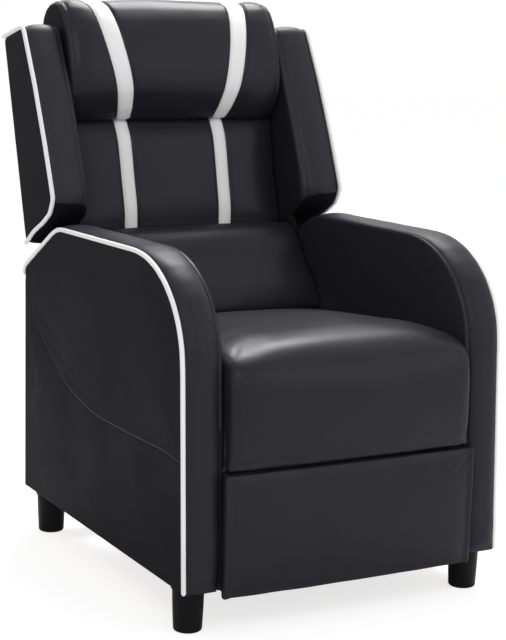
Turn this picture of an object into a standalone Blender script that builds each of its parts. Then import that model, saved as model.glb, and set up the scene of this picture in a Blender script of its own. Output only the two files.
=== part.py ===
import math

import bmesh
import bpy
from mathutils import Matrix, Vector

# A push-back recliner with wings on its back, padded arms and a folding footrest.
# Metres, +Z up, the front towards -Y, +X to the right of someone who faces the chair.
# The floor is Z = 0, and the origin lies under the middle of the whole chair.

# Overall sizes
overall_width = 0.620
arm_width = 0.075
arm_height = 0.541
leg_height = 0.078
front_reach = 0.4035

# Clearances
touch = 0.0003
corner_support = 0.0015
slide_gap = 0.002
overrun = 0.004

# Arm outline, seen from the side
front_lean = 0.017
shoulder_depth = 0.188
shoulder_height = 0.171
top_drop = 0.009
chamfer_depth = 0.166
chamfer_drop = 0.096
shoulder_steps = 7

# Arm covering and its frame
band_thickness = 0.016
band_crown = 0.010
top_crown_share = 0.25
panel_thickness = 0.008
arm_rail_width = 0.040
piping_radius = 0.0031

# Legs
leg_top_radius = 0.027
leg_foot_radius = 0.0245
leg_chamfer = 0.003
leg_inset = 0.035
leg_front_setback = 0.0505
leg_rear_setback = 0.0655
leg_sides = 24

# Boards and rails of the base
stretcher_depth = 0.060
stretcher_thickness = 0.022
front_stretcher_setback = 0.2675
rear_stretcher_setback = 0.040
board_edge = 0.002
rail_height = 0.034
rail_flange = 0.024

# Steel links
plate_thickness = 0.003
plate_gap = 0.0012
link_radius = 0.008
pin_radius = 0.0035
pin_clearance = 0.0004
open_pivot_clearance = 0.0009
pin_head_radius = 0.0062
pin_head_height = 0.0018
pin_sides = 12
hole_sides = 12
arc_step = math.radians(36)

# Swing links that carry the seat, upright in between rest and fully forward
swing_length = 0.120
swing_lean = math.radians(30)
swing_pivot_height = 0.118
swing_front_setback = 0.3575
swing_spacing = 0.160
swing_radius = 0.011
tube_radius = 0.010
tube_sides = 16

# Footrest linkage, folded: setbacks behind the arms' front, and heights
fold_front_setback = 0.1725
fold_front_height = 0.230
fold_rear_setback = 0.2035
fold_rear_height = 0.262
cross_front_setback = 0.1775
cross_front_height = 0.092
cross_rear_setback = 0.2025
cross_rear_height = 0.111
carrier_pitch = 0.038
carrier_setback = 0.0335
carrier_height = 0.236
elbow_reach = 0.1127
elbow_rise = 0.0351

# Seat
seat_frame_bottom = 0.285
seat_frame_height = 0.061
seat_frame_rail = 0.034
seat_front_setback = 0.0228
seat_length = 0.495
seat_board_edge = 0.004
seat_top = 0.474
seat_crown = 0.012
apron_reach = 0.044
edge_tuck = 0.010

# Elastic webbing of the seat
strap_count = 4
strap_width = 0.050
webbing_thickness = 0.0022
webbing_drop = 0.006
webbing_corner = 0.010

# Hinge of the back behind the seat frame, with the arms' reach behind it
hinge_gap = 0.0197
hinge_height = 0.330
arm_rear_reach = 0.1815

# Back, upright on its hinge
back_lean = math.radians(17)
plate_radius = 0.012
back_rear = 0.103
cover_thickness = 0.004
back_frame_thickness = 0.024
back_frame_bottom = -0.020
back_frame_rail = 0.042
back_frame_middle = 0.285
bracket_top = 0.150
bracket_foot = 0.082
lumbar_bottom = 0.098
lumbar_reach = 0.078
lumbar_seam = 0.277
bolster_seam = 0.492
bolster_top = 0.7250
bolster_cap = 0.085
bolster_reach = 0.030
panel_front = 0.048
panel_crown = 0.004
seam_gap = 0.0008
back_side_gap = 0.0065

# Wings of the back
wing_bottom = 0.263
wing_top = 0.673
wing_front = 0.066
wing_slant = 0.026
wing_crown = 0.007

# Footrest
footrest_lap = 0.008
footrest_bottom = 0.066
footrest_height = 0.199
footrest_board_thickness = 0.012
footrest_board_margin = 0.010
footrest_front = 0.0285
footrest_crown = 0.006

# Values worked out from the sizes above
half_width = overall_width / 2
arm_inner = half_width - arm_width
arm_bottom = leg_height
arm_top = arm_bottom + arm_height
arm_front = -front_reach
panel_inset = 2 * piping_radius + 2 * touch
band_inner_x = arm_inner + panel_thickness + touch
band_outer_x = half_width - 2 * piping_radius - touch
plate_pitch = plate_thickness + plate_gap
rail_outer = arm_inner - slide_gap - pin_head_height
stretcher_top = arm_bottom + stretcher_thickness
swing_rise = swing_length * math.cos(swing_lean)
swing_back = swing_length * math.sin(swing_lean)
swing_front_y = arm_front + swing_front_setback
seat_front_y = arm_front + seat_front_setback
seat_rear_y = seat_front_y + seat_length
hinge_y = seat_rear_y + hinge_gap
arm_rear = hinge_y + arm_rear_reach
back_half = arm_inner - back_side_gap
back_frame_top = bolster_top - bolster_cap
seat_frame_top = seat_frame_bottom + seat_frame_height
back_frame_front = back_rear - cover_thickness - touch - back_frame_thickness

looks = {}
groups = {}


def clear_scene():
    for item in list(bpy.data.objects):
        bpy.data.objects.remove(item)


def add_collection(name):
    group = bpy.data.collections.new(name)
    bpy.context.scene.collection.children.link(group)
    return group


def add_look(name, colour, roughness, metallic=0.0):
    look = bpy.data.materials.new(name)
    look.use_nodes = True
    shader = look.node_tree.nodes["Principled BSDF"]
    shader.inputs["Base Color"].default_value = (*colour, 1.0)
    shader.inputs["Roughness"].default_value = roughness
    shader.inputs["Metallic"].default_value = metallic
    looks[name] = look


def add_looks():
    add_look("black_leather", (0.020, 0.020, 0.023), 0.42)
    add_look("side_leather", (0.016, 0.016, 0.018), 0.50)
    add_look("white_piping", (0.86, 0.86, 0.85), 0.45)
    add_look("plywood", (0.55, 0.38, 0.22), 0.70)
    add_look("steel_plate", (0.10, 0.10, 0.11), 0.40, 0.9)
    add_look("zinc_pin", (0.62, 0.62, 0.60), 0.32, 1.0)
    add_look("black_plastic", (0.018, 0.018, 0.019), 0.38)
    add_look("rear_fabric", (0.022, 0.022, 0.024), 0.85)


# Points in the side view are vectors of Y and Z
def side_point(y, z):
    return Vector((y, z))


def add_joint(name, point, parent=None, turn=0.0):
    joint = bpy.data.objects.new(name, None)
    groups["parts"].objects.link(joint)
    joint["world_y"] = point.x
    joint["world_z"] = point.y
    joint.parent = parent
    joint.location = (0.0, point.x, point.y)
    if parent:
        joint.location = (0.0, point.x - parent["world_y"], point.y - parent["world_z"])
    joint.rotation_euler = (turn, 0.0, 0.0)
    return joint


def joint_place(joint):
    return side_point(joint["world_y"], joint["world_z"])


def finish(item, look, joint, smooth=True):
    if item.name not in groups["parts"].objects:
        groups["parts"].objects.link(item)
    item.data.materials.append(looks[look])
    item.parent = joint
    if smooth and item.type == "MESH":
        item.data.shade_smooth()
        item.data.set_sharp_from_angle(angle=math.radians(35))
    return item


def mesh_object(name, bm, look, joint, smooth=True):
    bmesh.ops.recalc_face_normals(bm, faces=bm.faces[:])
    mesh = bpy.data.meshes.new(name)
    bm.to_mesh(mesh)
    bm.free()
    return finish(bpy.data.objects.new(name, mesh), look, joint, smooth)


def add_block(bm, low, high):
    size = Vector(high) - Vector(low)
    middle = (Vector(high) + Vector(low)) / 2
    made = bmesh.ops.create_cube(bm, size=1.0)
    bmesh.ops.scale(bm, vec=size, verts=made["verts"])
    bmesh.ops.translate(bm, vec=middle, verts=made["verts"])


def add_board(name, low, high, look, joint=None, edge=board_edge):
    bm = bmesh.new()
    add_block(bm, low, high)
    item = mesh_object(name, bm, look, joint, smooth=False)
    bevel = item.modifiers.new("eased edges", "BEVEL")
    bevel.width = edge
    bevel.segments = 1
    return item


def circle_points(centre, radius, sides):
    points = []
    for step in range(sides):
        angle = 2 * math.pi * step / sides
        points.append(centre + radius * Vector((math.cos(angle), math.sin(angle))))
    return points


def arc_points(centre, radius, start, sweep, steps):
    points = []
    for step in range(steps + 1):
        angle = start + sweep * step / steps
        points.append(centre + radius * Vector((math.cos(angle), math.sin(angle))))
    return points


def turn_between(before, after):
    turn = math.atan2(after.y, after.x) - math.atan2(before.y, before.x)
    while turn <= -math.pi + 0.001:
        turn += 2 * math.pi
    while turn > math.pi + 0.001:
        turn -= 2 * math.pi
    return turn


# The edge that runs a radius outside an anticlockwise loop of corners
def rounded_outline(corners, radius):
    points = []
    for index, corner in enumerate(corners):
        before = corner - corners[index - 1]
        after = corners[(index + 1) % len(corners)] - corner
        turn = turn_between(before, after)
        start = math.atan2(before.y, before.x) - math.pi / 2
        if turn > 0:
            steps = max(1, math.ceil(turn / arc_step))
            points += arc_points(corner, radius, start, turn, steps)
        else:
            reach = radius / math.cos(turn / 2)
            middle = start + turn / 2
            points.append(corner + reach * Vector((math.cos(middle), math.sin(middle))))
    return points


def add_loop(curve, points):
    spline = curve.splines.new("POLY")
    spline.points.add(len(points) - 1)
    for slot, point in zip(spline.points, points):
        slot.co = (point.x, point.y, 0.0, 1.0)
    spline.use_cyclic_u = True


def flat_curve(name, loops, thickness):
    curve = bpy.data.curves.new(name, "CURVE")
    curve.dimensions = "2D"
    curve.fill_mode = "BOTH"
    curve.extrude = thickness / 2
    for loop in loops:
        add_loop(curve, loop)
    return bpy.data.objects.new(name, curve)


# A plate that stands in the side view, with its origin on its joint
def add_plate(name, outline, holes, middle_x, thickness, look, joint=None):
    origin = joint_place(joint) if joint else side_point(0.0, 0.0)
    loops = [[point - origin for point in outline]]
    for centre, radius in holes:
        loops.append(circle_points(centre - origin, radius, hole_sides))
    item = flat_curve(name, loops, thickness)
    item.location = (middle_x, 0.0, 0.0)
    item.rotation_euler = (math.pi / 2, 0.0, math.pi / 2)
    return finish(item, look, joint, smooth=False)


def add_steel(name, outline, holes, middle_x, joint):
    return add_plate(name, outline, holes, middle_x, plate_thickness, "steel_plate", joint)


def as_mesh(item):
    bpy.context.view_layer.update()
    graph = bpy.context.evaluated_depsgraph_get()
    mesh = bpy.data.meshes.new_from_object(item.evaluated_get(graph))
    bm = bmesh.new()
    bm.from_mesh(mesh)
    bmesh.ops.remove_doubles(bm, verts=bm.verts[:], dist=touch / 10)
    bmesh.ops.recalc_face_normals(bm, faces=bm.faces[:])
    bm.to_mesh(mesh)
    bm.free()
    name = item.name
    made = bpy.data.objects.new(name, mesh)
    made.parent = item.parent
    made.location = item.location
    made.rotation_euler = item.rotation_euler
    bpy.data.objects.remove(item)
    made.name = name
    groups["parts"].objects.link(made)
    return made


# Cylinders along X that cut the pivot holes of one piece, or that join its studs to it
def join_cylinders(item, name, centres, middle_x, length, radius, operation):
    bm = bmesh.new()
    for centre in centres:
        turned = Matrix.Translation((middle_x, centre.x, centre.y)) @ Matrix.Rotation(math.pi / 2, 4, "Y")
        bmesh.ops.create_cone(
            bm,
            cap_ends=True,
            segments=hole_sides,
            radius1=radius,
            radius2=radius,
            depth=length,
            matrix=turned,
        )
    bmesh.ops.recalc_face_normals(bm, faces=bm.faces[:])
    mesh = bpy.data.meshes.new(name)
    bm.to_mesh(mesh)
    bm.free()
    cutter = bpy.data.objects.new(name, mesh)
    groups["cutters"].objects.link(cutter)
    cutter.hide_render = True
    cutter.display_type = "WIRE"
    cut = item.modifiers.new("pivots", "BOOLEAN")
    cut.operation = operation
    cut.solver = "EXACT"
    cut.object = cutter


# A stud that stands on one layer of plates and ends flush with the far side of another
def add_stud(item, name, centre, side, root_layer, end_layer):
    outwards = end_layer < root_layer
    start = plane_middle(root_layer)
    end = plane_outer(end_layer) if outwards else plane_inner(end_layer)
    middle = side * (start + end) / 2
    join_cylinders(item, name, (centre,), middle, abs(end - start), pin_radius, "UNION")


# A solid of revolution about X: pairs of place along X and radius
def add_turned(bm, profile, centre, sides):
    made = [bm.verts.new((along, centre.x, centre.y + radius)) for along, radius in profile]
    edges = [bm.edges.new(pair) for pair in zip(made, made[1:])]
    bmesh.ops.spin(
        bm,
        geom=made + edges,
        cent=(0.0, centre.x, centre.y),
        axis=(1.0, 0.0, 0.0),
        dvec=(0.0, 0.0, 0.0),
        angle=2 * math.pi,
        steps=sides,
        use_merge=True,
    )
    bmesh.ops.remove_doubles(bm, verts=bm.verts[:], dist=touch / 10)


def plane_outer(number):
    return rail_outer - number * plate_pitch


def plane_inner(number):
    return plane_outer(number) - plate_thickness


def plane_middle(number):
    return plane_outer(number) - plate_thickness / 2


# Which layer each steel plate lies in, from the arm inwards
rail_layer = 0
swing_layer = 1
front_fold_layer = 2
side_plate_layer = 3
rear_fold_layer = 4
lower_carrier_layer = 5

# Pivots in the side view
swing_front = side_point(swing_front_y, swing_pivot_height)
swing_rear = side_point(swing_front_y + swing_spacing, swing_pivot_height)
seat_front_pivot = swing_front + side_point(swing_back, swing_rise)
seat_rear_pivot = swing_rear + side_point(swing_back, swing_rise)
fold_front = side_point(arm_front + fold_front_setback, fold_front_height)
fold_rear = side_point(arm_front + fold_rear_setback, fold_rear_height)
cross_front = side_point(arm_front + cross_front_setback, cross_front_height)
cross_rear = side_point(arm_front + cross_rear_setback, cross_rear_height)
cross_lower = cross_rear - side_point(0.0, carrier_pitch)
carrier_upper = side_point(arm_front + carrier_setback, carrier_height)
carrier_lower = carrier_upper - side_point(0.0, carrier_pitch)
elbow_upper = cross_rear + side_point(-elbow_reach, elbow_rise)
elbow_lower = elbow_upper - side_point(0.0, carrier_pitch)
back_hinge = side_point(hinge_y, hinge_height)
hole_radius = pin_radius + pin_clearance


def sides():
    return (("left", -1), ("right", 1))


# Arm outline from the foot of its front edge, over the top, to the foot of its rear edge
def arm_edge():
    shoulder_y = arm_front + front_lean + shoulder_depth
    points = [side_point(arm_front, arm_bottom)]
    for step in range(shoulder_steps + 1):
        angle = math.pi / 2 * step / shoulder_steps
        across = shoulder_depth * math.cos(angle)
        up = shoulder_height * math.sin(angle)
        points.append(side_point(shoulder_y - across, arm_top - shoulder_height + up))
    chamfer_y = arm_rear - chamfer_depth
    chamfer_z = arm_top - top_drop
    soften = band_thickness
    slope = side_point(chamfer_depth, -chamfer_drop).normalized()
    points.append(side_point(chamfer_y - soften, chamfer_z))
    points.append(side_point(chamfer_y, chamfer_z - soften / 8) + slope * (soften / 4))
    points.append(side_point(chamfer_y, chamfer_z) + slope * (2 * soften))
    points.append(side_point(arm_rear, chamfer_z - chamfer_drop))
    points.append(side_point(arm_rear, arm_bottom))
    return points


least_mitre_share = 0.5


# Points moved along the normals of their line, each by its own amount, to its left when positive
def move_points(points, amounts, closed):
    moved = []
    last = len(points) - 1
    for index, point in enumerate(points):
        before = point - points[index - 1]
        after = points[(index + 1) % len(points)] - point
        if not closed and index == 0:
            before = after
        if not closed and index == last:
            after = before
        left = Vector((-before.y, before.x)).normalized()
        next_left = Vector((-after.y, after.x)).normalized()
        normal = (left + next_left).normalized()
        stretch = 1 / max(least_mitre_share, normal.dot(left))
        moved.append(point + normal * amounts[index] * stretch)
    return moved


# The arm's edge line moved outwards, with its two feet kept level
def offset_line(points, distance):
    moved = move_points(points, [distance] * len(points), closed=False)
    moved[0].y = points[0].y
    moved[-1].y = points[-1].y
    return moved


# A closed skin over rings of points, one ring at each place along X
def add_loft(name, places, rings, look, joint, levels=0):
    bm = bmesh.new()
    made = []
    for place, ring in zip(places, rings):
        made.append([bm.verts.new((place, point.x, point.y)) for point in ring])
    count = len(made[0])
    for first, second in zip(made, made[1:]):
        for index in range(count):
            after = (index + 1) % count
            bm.faces.new((first[index], first[after], second[after], second[index]))
    ends = [bm.faces.new(made[0]), bm.faces.new(made[-1])]
    crease = bm.edges.layers.float.new("crease_edge")
    for end in ends:
        for edge in end.edges:
            edge[crease] = 1.0
    bmesh.ops.triangulate(bm, faces=ends)
    item = mesh_object(name, bm, look, joint)
    if levels:
        smooth = item.modifiers.new("soft form", "SUBSURF")
        smooth.levels = levels
        smooth.render_levels = levels
    return item


def crown_share(share):
    return max(0.0, 1 - (2 * share - 1) ** 2)


band_shares = (0.0, 0.12, 0.35, 0.65, 0.88, 1.0)


# The band is fullest on its front, flatter on the top, and flat down the rear
def band_freedom(point):
    if point.x > arm_rear - touch:
        return 0.0
    behind = (point.x - arm_front - front_lean) / shoulder_depth
    return max(top_crown_share, 1.0 - max(0.0, behind))


def add_arm_band(name, side):
    outer = arm_edge()
    freedoms = [band_freedom(point) for point in outer]
    inner = offset_line(outer, -band_thickness)
    places = []
    rings = []
    for share in band_shares:
        places.append(side * (band_inner_x + share * (band_outer_x - band_inner_x)))
        fullness = band_crown * crown_share(share)
        lifted = move_points(outer, [fullness * freedom for freedom in freedoms], closed=False)
        lifted[0].y = arm_bottom
        rings.append(lifted + inner[::-1])
    add_loft(name, places, rings, "black_leather", None)


def add_arm_panel(name, side, faces, inset, look):
    line = offset_line(arm_edge(), -inset)
    middle = side * (faces[0] + faces[1]) / 2
    add_plate(name, line, [], middle, faces[1] - faces[0], look)


def add_arm_frame(name, side):
    line = offset_line(arm_edge(), -band_thickness - touch)
    hollow = offset_line(line, -arm_rail_width)
    hollow[0].y = arm_bottom + arm_rail_width
    hollow[-1].y = arm_bottom + arm_rail_width
    low = band_inner_x
    high = band_outer_x
    item = flat_curve(name, [line, hollow], high - low)
    item.location = (side * (low + high) / 2, 0.0, 0.0)
    item.rotation_euler = (math.pi / 2, 0.0, math.pi / 2)
    finish(item, "plywood", None, smooth=False)


def add_tube(name, route, radius, look, joint, resolution=2):
    curve = bpy.data.curves.new(name, "CURVE")
    curve.dimensions = "3D"
    curve.bevel_depth = radius
    curve.bevel_resolution = resolution
    curve.use_fill_caps = True
    spline = curve.splines.new("POLY")
    spline.points.add(len(route) - 1)
    for slot, point in zip(spline.points, route):
        slot.co = (*point, 1.0)
    return finish(bpy.data.objects.new(name, curve), look, joint)


def add_arm_piping(name, side):
    line = offset_line(arm_edge(), -piping_radius)
    place = side * (half_width - piping_radius)
    add_tube(name, [(place, point.x, point.y) for point in line], piping_radius, "white_piping", None)


def add_arms():
    for word, side in sides():
        add_arm_frame(f"arm_frame_{word}", side)
        add_arm_band(f"arm_band_{word}", side)
        faces = (band_outer_x + touch, half_width - piping_radius / 2)
        add_arm_panel(f"arm_outer_panel_{word}", side, faces, panel_inset, "side_leather")
        faces = (arm_inner, arm_inner + panel_thickness)
        add_arm_panel(f"arm_inner_panel_{word}", side, faces, touch, "black_leather")
        add_arm_piping(f"arm_piping_{word}", side)


# A leg is a turned profile, written down its outer side from the top
def add_leg(name, x, y):
    top = leg_height - touch
    profile = [
        (0.0, top),
        (leg_top_radius - leg_chamfer, top),
        (leg_top_radius, top - leg_chamfer),
        (leg_foot_radius, leg_chamfer),
        (leg_foot_radius - leg_chamfer, 0.0),
        (0.0, 0.0),
    ]
    bm = bmesh.new()
    made = [bm.verts.new((radius, 0.0, height)) for radius, height in profile]
    for pair in zip(made, made[1:]):
        bm.edges.new(pair)
    mesh = bpy.data.meshes.new(name)
    bm.to_mesh(mesh)
    bm.free()
    item = finish(bpy.data.objects.new(name, mesh), "black_plastic", None, smooth=False)
    item.location = (x, y, 0.0)
    screw = item.modifiers.new("turned", "SCREW")
    screw.steps = leg_sides
    screw.render_steps = leg_sides
    screw.use_merge_vertices = True
    screw.merge_threshold = touch / 10
    screw.use_smooth_shade = True


def add_legs():
    middle = half_width - leg_inset
    for word, side in sides():
        add_leg(f"leg_front_{word}", side * middle, arm_front + leg_front_setback)
        add_leg(f"leg_rear_{word}", side * middle, arm_rear - leg_rear_setback)


def stretcher_spans():
    front = arm_front + front_stretcher_setback
    rear = arm_rear - rear_stretcher_setback - stretcher_depth
    return (("front_stretcher", front), ("rear_stretcher", rear))


def add_stretchers():
    reach = arm_inner - touch
    for name, y in stretcher_spans():
        low = (-reach, y, arm_bottom)
        high = (reach, y + stretcher_depth, stretcher_top)
        add_board(name, low, high, "plywood")


def add_base_rails():
    front = stretcher_spans()[0][1]
    rear = stretcher_spans()[1][1] + stretcher_depth
    low = stretcher_top + touch
    outer = rail_outer
    inner = outer - plate_thickness
    for word, side in sides():
        corners = [
            side_point(outer, low),
            side_point(outer, low + rail_height),
            side_point(inner, low + rail_height),
            side_point(inner, low + plate_thickness),
            side_point(outer - rail_flange, low + plate_thickness),
            side_point(outer - rail_flange, low),
        ]
        loop = [side_point(side * corner.x, corner.y) for corner in corners]
        item = flat_curve(f"base_rail_{word}", [loop], rear - front)
        item.location = (0.0, (front + rear) / 2, 0.0)
        item.rotation_euler = (math.pi / 2, 0.0, 0.0)
        finish(item, "steel_plate", None, smooth=False)
        item = as_mesh(item)
        name = f"base_rail_holes_{word}"
        middle = side * plane_middle(rail_layer)
        reach = plate_thickness + 2 * overrun
        join_cylinders(item, name, (swing_front, swing_rear), middle, reach, hole_radius, "DIFFERENCE")


# A shaft across the chair that ends just inside a layer of plates, or with a head outside it
def add_shaft(name, joint, centre, layer, headed):
    origin = joint_place(joint) if joint else side_point(0.0, 0.0)
    face = plane_outer(layer)
    end = face + touch
    if headed:
        half = [(end, pin_radius), (end, pin_head_radius), (end + pin_head_height, pin_head_radius)]
        half.append((end + pin_head_height, 0.0))
    else:
        half = [(face, pin_radius), (face, 0.0)]
    profile = [(-along, radius) for along, radius in half[::-1]] + half
    bm = bmesh.new()
    add_turned(bm, profile, centre - origin, pin_sides)
    mesh_object(name, bm, "zinc_pin", joint)


def add_swing_links(joint_front, joint_rear):
    for word, side in sides():
        middle = side * plane_middle(swing_layer)
        for place, start, end, joint in (
            ("front", swing_front, seat_front_pivot, joint_front),
            ("rear", swing_rear, seat_rear_pivot, joint_rear),
        ):
            outline = rounded_outline([start, end], swing_radius)
            holes = [(start, hole_radius), (end, hole_radius)]
            add_steel(f"swing_link_{place}_{word}", outline, holes, middle, joint)


# The tube that makes both front swing links turn as one, with a foot welded to each
def add_cross_tube(joint):
    reach = plane_inner(swing_layer) - touch
    rise = swing_length / 2
    lift = side_point(math.sin(swing_lean), math.cos(swing_lean)) * rise
    bm = bmesh.new()
    profile = [(-reach, 0.0), (-reach, tube_radius), (reach, tube_radius), (reach, 0.0)]
    add_turned(bm, profile, lift, tube_sides)
    mesh_object("cross_tube", bm, "steel_plate", joint)


def add_side_plates(joint):
    shelf = seat_frame_top - 2 * plate_radius
    corners = [
        fold_front,
        seat_front_pivot,
        seat_rear_pivot,
        back_hinge,
        side_point(seat_rear_y - 2 * plate_radius, shelf),
        side_point(fold_rear.x, shelf),
    ]
    outline = rounded_outline(corners, plate_radius)
    holes = [(point, hole_radius) for point in (fold_rear, seat_front_pivot, seat_rear_pivot, back_hinge)]
    for word, side in sides():
        middle = side * plane_middle(side_plate_layer)
        name = f"seat_side_plate_{word}"
        item = as_mesh(add_steel(name, outline, holes, middle, joint))
        add_stud(item, f"fold_stud_{word}", fold_front, side, side_plate_layer, front_fold_layer)


def rectangle(low_x, low_y, high_x, high_y):
    return [
        side_point(low_x, low_y),
        side_point(high_x, low_y),
        side_point(high_x, high_y),
        side_point(low_x, high_y),
    ]


def add_seat_frame(joint):
    half = plane_inner(side_plate_layer) - touch
    rail = seat_frame_rail
    outer = rectangle(-half, seat_front_y, half, seat_rear_y)
    inner = rectangle(-half + rail, seat_front_y + rail, half - rail, seat_rear_y - rail)
    item = flat_curve("seat_frame", [outer, inner], seat_frame_height)
    origin = joint_place(joint)
    item.location = (0.0, -origin.x, (seat_frame_bottom + seat_frame_top) / 2 - origin.y)
    finish(item, "plywood", joint, smooth=False)
    item = as_mesh(item)
    bevel = item.modifiers.new("eased edges", "BEVEL")
    bevel.width = seat_board_edge
    bevel.segments = 1
    bevel.angle_limit = math.radians(60)
    return item


# A lattice of straps stretched inside the seat frame
def add_seat_webbing(joint):
    origin = joint_place(joint)
    half = plane_inner(side_plate_layer) - seat_frame_rail - 2 * touch
    front = seat_front_y + seat_frame_rail + touch
    rear = seat_rear_y - seat_frame_rail - touch
    ease = webbing_corner
    loops = [rounded_outline(rectangle(-half + ease, front + ease, half - ease, rear - ease), ease)]
    wide = (2 * half - strap_count * strap_width) / (strap_count + 1)
    deep = (rear - front - strap_count * strap_width) / (strap_count + 1)
    for column in range(strap_count + 1):
        for row in range(strap_count + 1):
            low_x = -half + column * (wide + strap_width)
            low_y = front + row * (deep + strap_width)
            first_x = max(low_x, -half + strap_width / 4)
            first_y = max(low_y, front + strap_width / 4)
            last_x = min(low_x + wide, half - strap_width / 4)
            last_y = min(low_y + deep, rear - strap_width / 4)
            loops.append(rectangle(first_x, first_y, last_x, last_y))
    item = flat_curve("seat_webbing", loops, webbing_thickness)
    height = seat_frame_top - webbing_drop - webbing_thickness / 2
    item.location = (0.0, -origin.x, height - origin.y)
    finish(item, "rear_fabric", joint, smooth=False)


# Rings across the chair: how far out each stands, how full its crown is, and its tuck at the seam
ring_shares = (-1.0, -0.975, -0.86, -0.5, 0.0, 0.5, 0.86, 0.975, 1.0)
tuck_shares = {1.0: 1.0, 0.975: 0.25}
crown_power = 2.5


# Points of a closed ring moved outwards, each by its own amount
def swell_ring(ring, amounts):
    area = sum(a.x * b.y - b.x * a.y for a, b in zip(ring, ring[1:] + ring[:1]))
    side = -1 if area > 0 else 1
    return move_points(ring, [side * amount for amount in amounts], closed=True)


# A padded form: a ring of side-view points with how free each is to swell, lofted across the chair.
# Its two ends stay ahead of a line across the chair where one is given.
def add_padding(name, ring, freedoms, half, crown, joint, ends_ahead_of=None):
    places = []
    rings = []
    for share in ring_shares:
        fullness = crown * (1 - abs(share) ** crown_power)
        drawn = edge_tuck * tuck_shares.get(abs(share), 0.0)
        places.append(share * half)
        swollen = swell_ring(ring, [free * (fullness - drawn) for free in freedoms])
        if drawn and ends_ahead_of is not None:
            swollen = [side_point(min(point.x, ends_ahead_of), point.y) for point in swollen]
        rings.append(swollen)
    return add_loft(name, places, rings, "black_leather", joint, levels=1)


def relative(joint, points):
    origin = joint_place(joint)
    return [point - origin for point in points]


# The seat cushion rests on its frame and hangs over the frame's front as an apron.
# Shares run from the rear edge to the face of the frame, and from there down the apron.
seat_under_shares = (0.0, 0.07, 0.50, 0.93)
seat_apron_shares = (0.0, 0.5, 1.0)

# Skin of the cushion: place from front to rear, place from the bottom to the top, freedom to swell
seat_skin_shares = (
    (0.041, 0.000, 0.1),
    (0.016, 0.000, 0.2),
    (0.000, 0.090, 0.4),
    (0.000, 0.500, 0.4),
    (0.000, 0.730, 0.5),
    (0.016, 0.910, 1.0),
    (0.082, 1.000, 1.0),
    (0.275, 1.000, 1.0),
    (0.597, 0.900, 1.0),
    (0.937, 0.800, 1.0),
    (1.000, 0.710, 0.6),
)


# A table of shares laid out between two corners of a side view
def spread(shares, low_corner, high_corner):
    span = high_corner - low_corner
    return [low_corner + side_point(along * span.x, up * span.y) for along, up, free in shares]


def freedoms_of(shares):
    return [free for along, up, free in shares]


def add_seat_cushion(joint):
    under = seat_frame_top + touch
    face = seat_front_y - touch
    behind = face + corner_support
    below = under - corner_support
    points = [side_point(seat_rear_y + share * (behind - seat_rear_y), under) for share in seat_under_shares]
    points += [side_point(behind, under), side_point(face, under)]
    points += [side_point(face, below + share * (seat_frame_bottom - below)) for share in seat_apron_shares]
    fixed = [0.0] * len(points)
    low_corner = side_point(seat_front_y - apron_reach, seat_frame_bottom)
    points += spread(seat_skin_shares, low_corner, side_point(seat_rear_y, seat_top))
    freedoms = fixed + freedoms_of(seat_skin_shares)
    half = arm_inner - slide_gap
    add_padding("seat_cushion", relative(joint, points), freedoms, half, seat_crown, joint)


def add_fold_links(joints):
    for word, side in sides():
        outline = rounded_outline([fold_front, cross_front], link_radius)
        middle = side * plane_middle(front_fold_layer)
        name = f"fold_link_front_{word}"
        holes = [(fold_front, hole_radius)]
        item = as_mesh(add_steel(name, outline, holes, middle, joints["front"]))
        add_stud(item, f"cross_stud_front_{word}", cross_front, side, front_fold_layer, side_plate_layer)

        outline = rounded_outline([fold_rear, cross_lower], link_radius)
        holes = [(point, hole_radius) for point in (fold_rear, cross_lower)]
        middle = side * plane_middle(rear_fold_layer)
        name = f"fold_link_rear_{word}"
        item = as_mesh(add_steel(name, outline, holes, middle, joints["rear"]))
        add_stud(item, f"cross_stud_rear_{word}", cross_rear, side, rear_fold_layer, side_plate_layer)

        corners = [cross_rear, elbow_upper, carrier_upper, elbow_upper, cross_front]
        outline = rounded_outline(corners, link_radius)
        wide_hole = hole_radius + open_pivot_clearance
        holes = [(cross_rear, hole_radius), (carrier_upper, hole_radius), (cross_front, wide_hole)]
        middle = side * plane_middle(side_plate_layer)
        add_steel(f"carrier_link_upper_{word}", outline, holes, middle, joints["upper"])

        outline = rounded_outline([cross_lower, elbow_lower, carrier_lower, elbow_lower], link_radius)
        holes = [(cross_lower, hole_radius), (carrier_lower, wide_hole)]
        middle = side * plane_middle(lower_carrier_layer)
        add_steel(f"carrier_link_lower_{word}", outline, holes, middle, joints["lower"])


def board_back_y():
    return carrier_upper.x - link_radius - plate_thickness - 3 * touch


def add_footrest_board(joint):
    origin = joint_place(joint)
    half = plane_outer(rear_fold_layer) + touch
    back = board_back_y() - origin.x
    low = (-half, back - footrest_board_thickness, footrest_bottom + footrest_board_margin - origin.y)
    high = (half, back, footrest_bottom + footrest_height - footrest_board_margin - origin.y)
    add_board("footrest_board", low, high, "plywood", joint)


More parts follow.
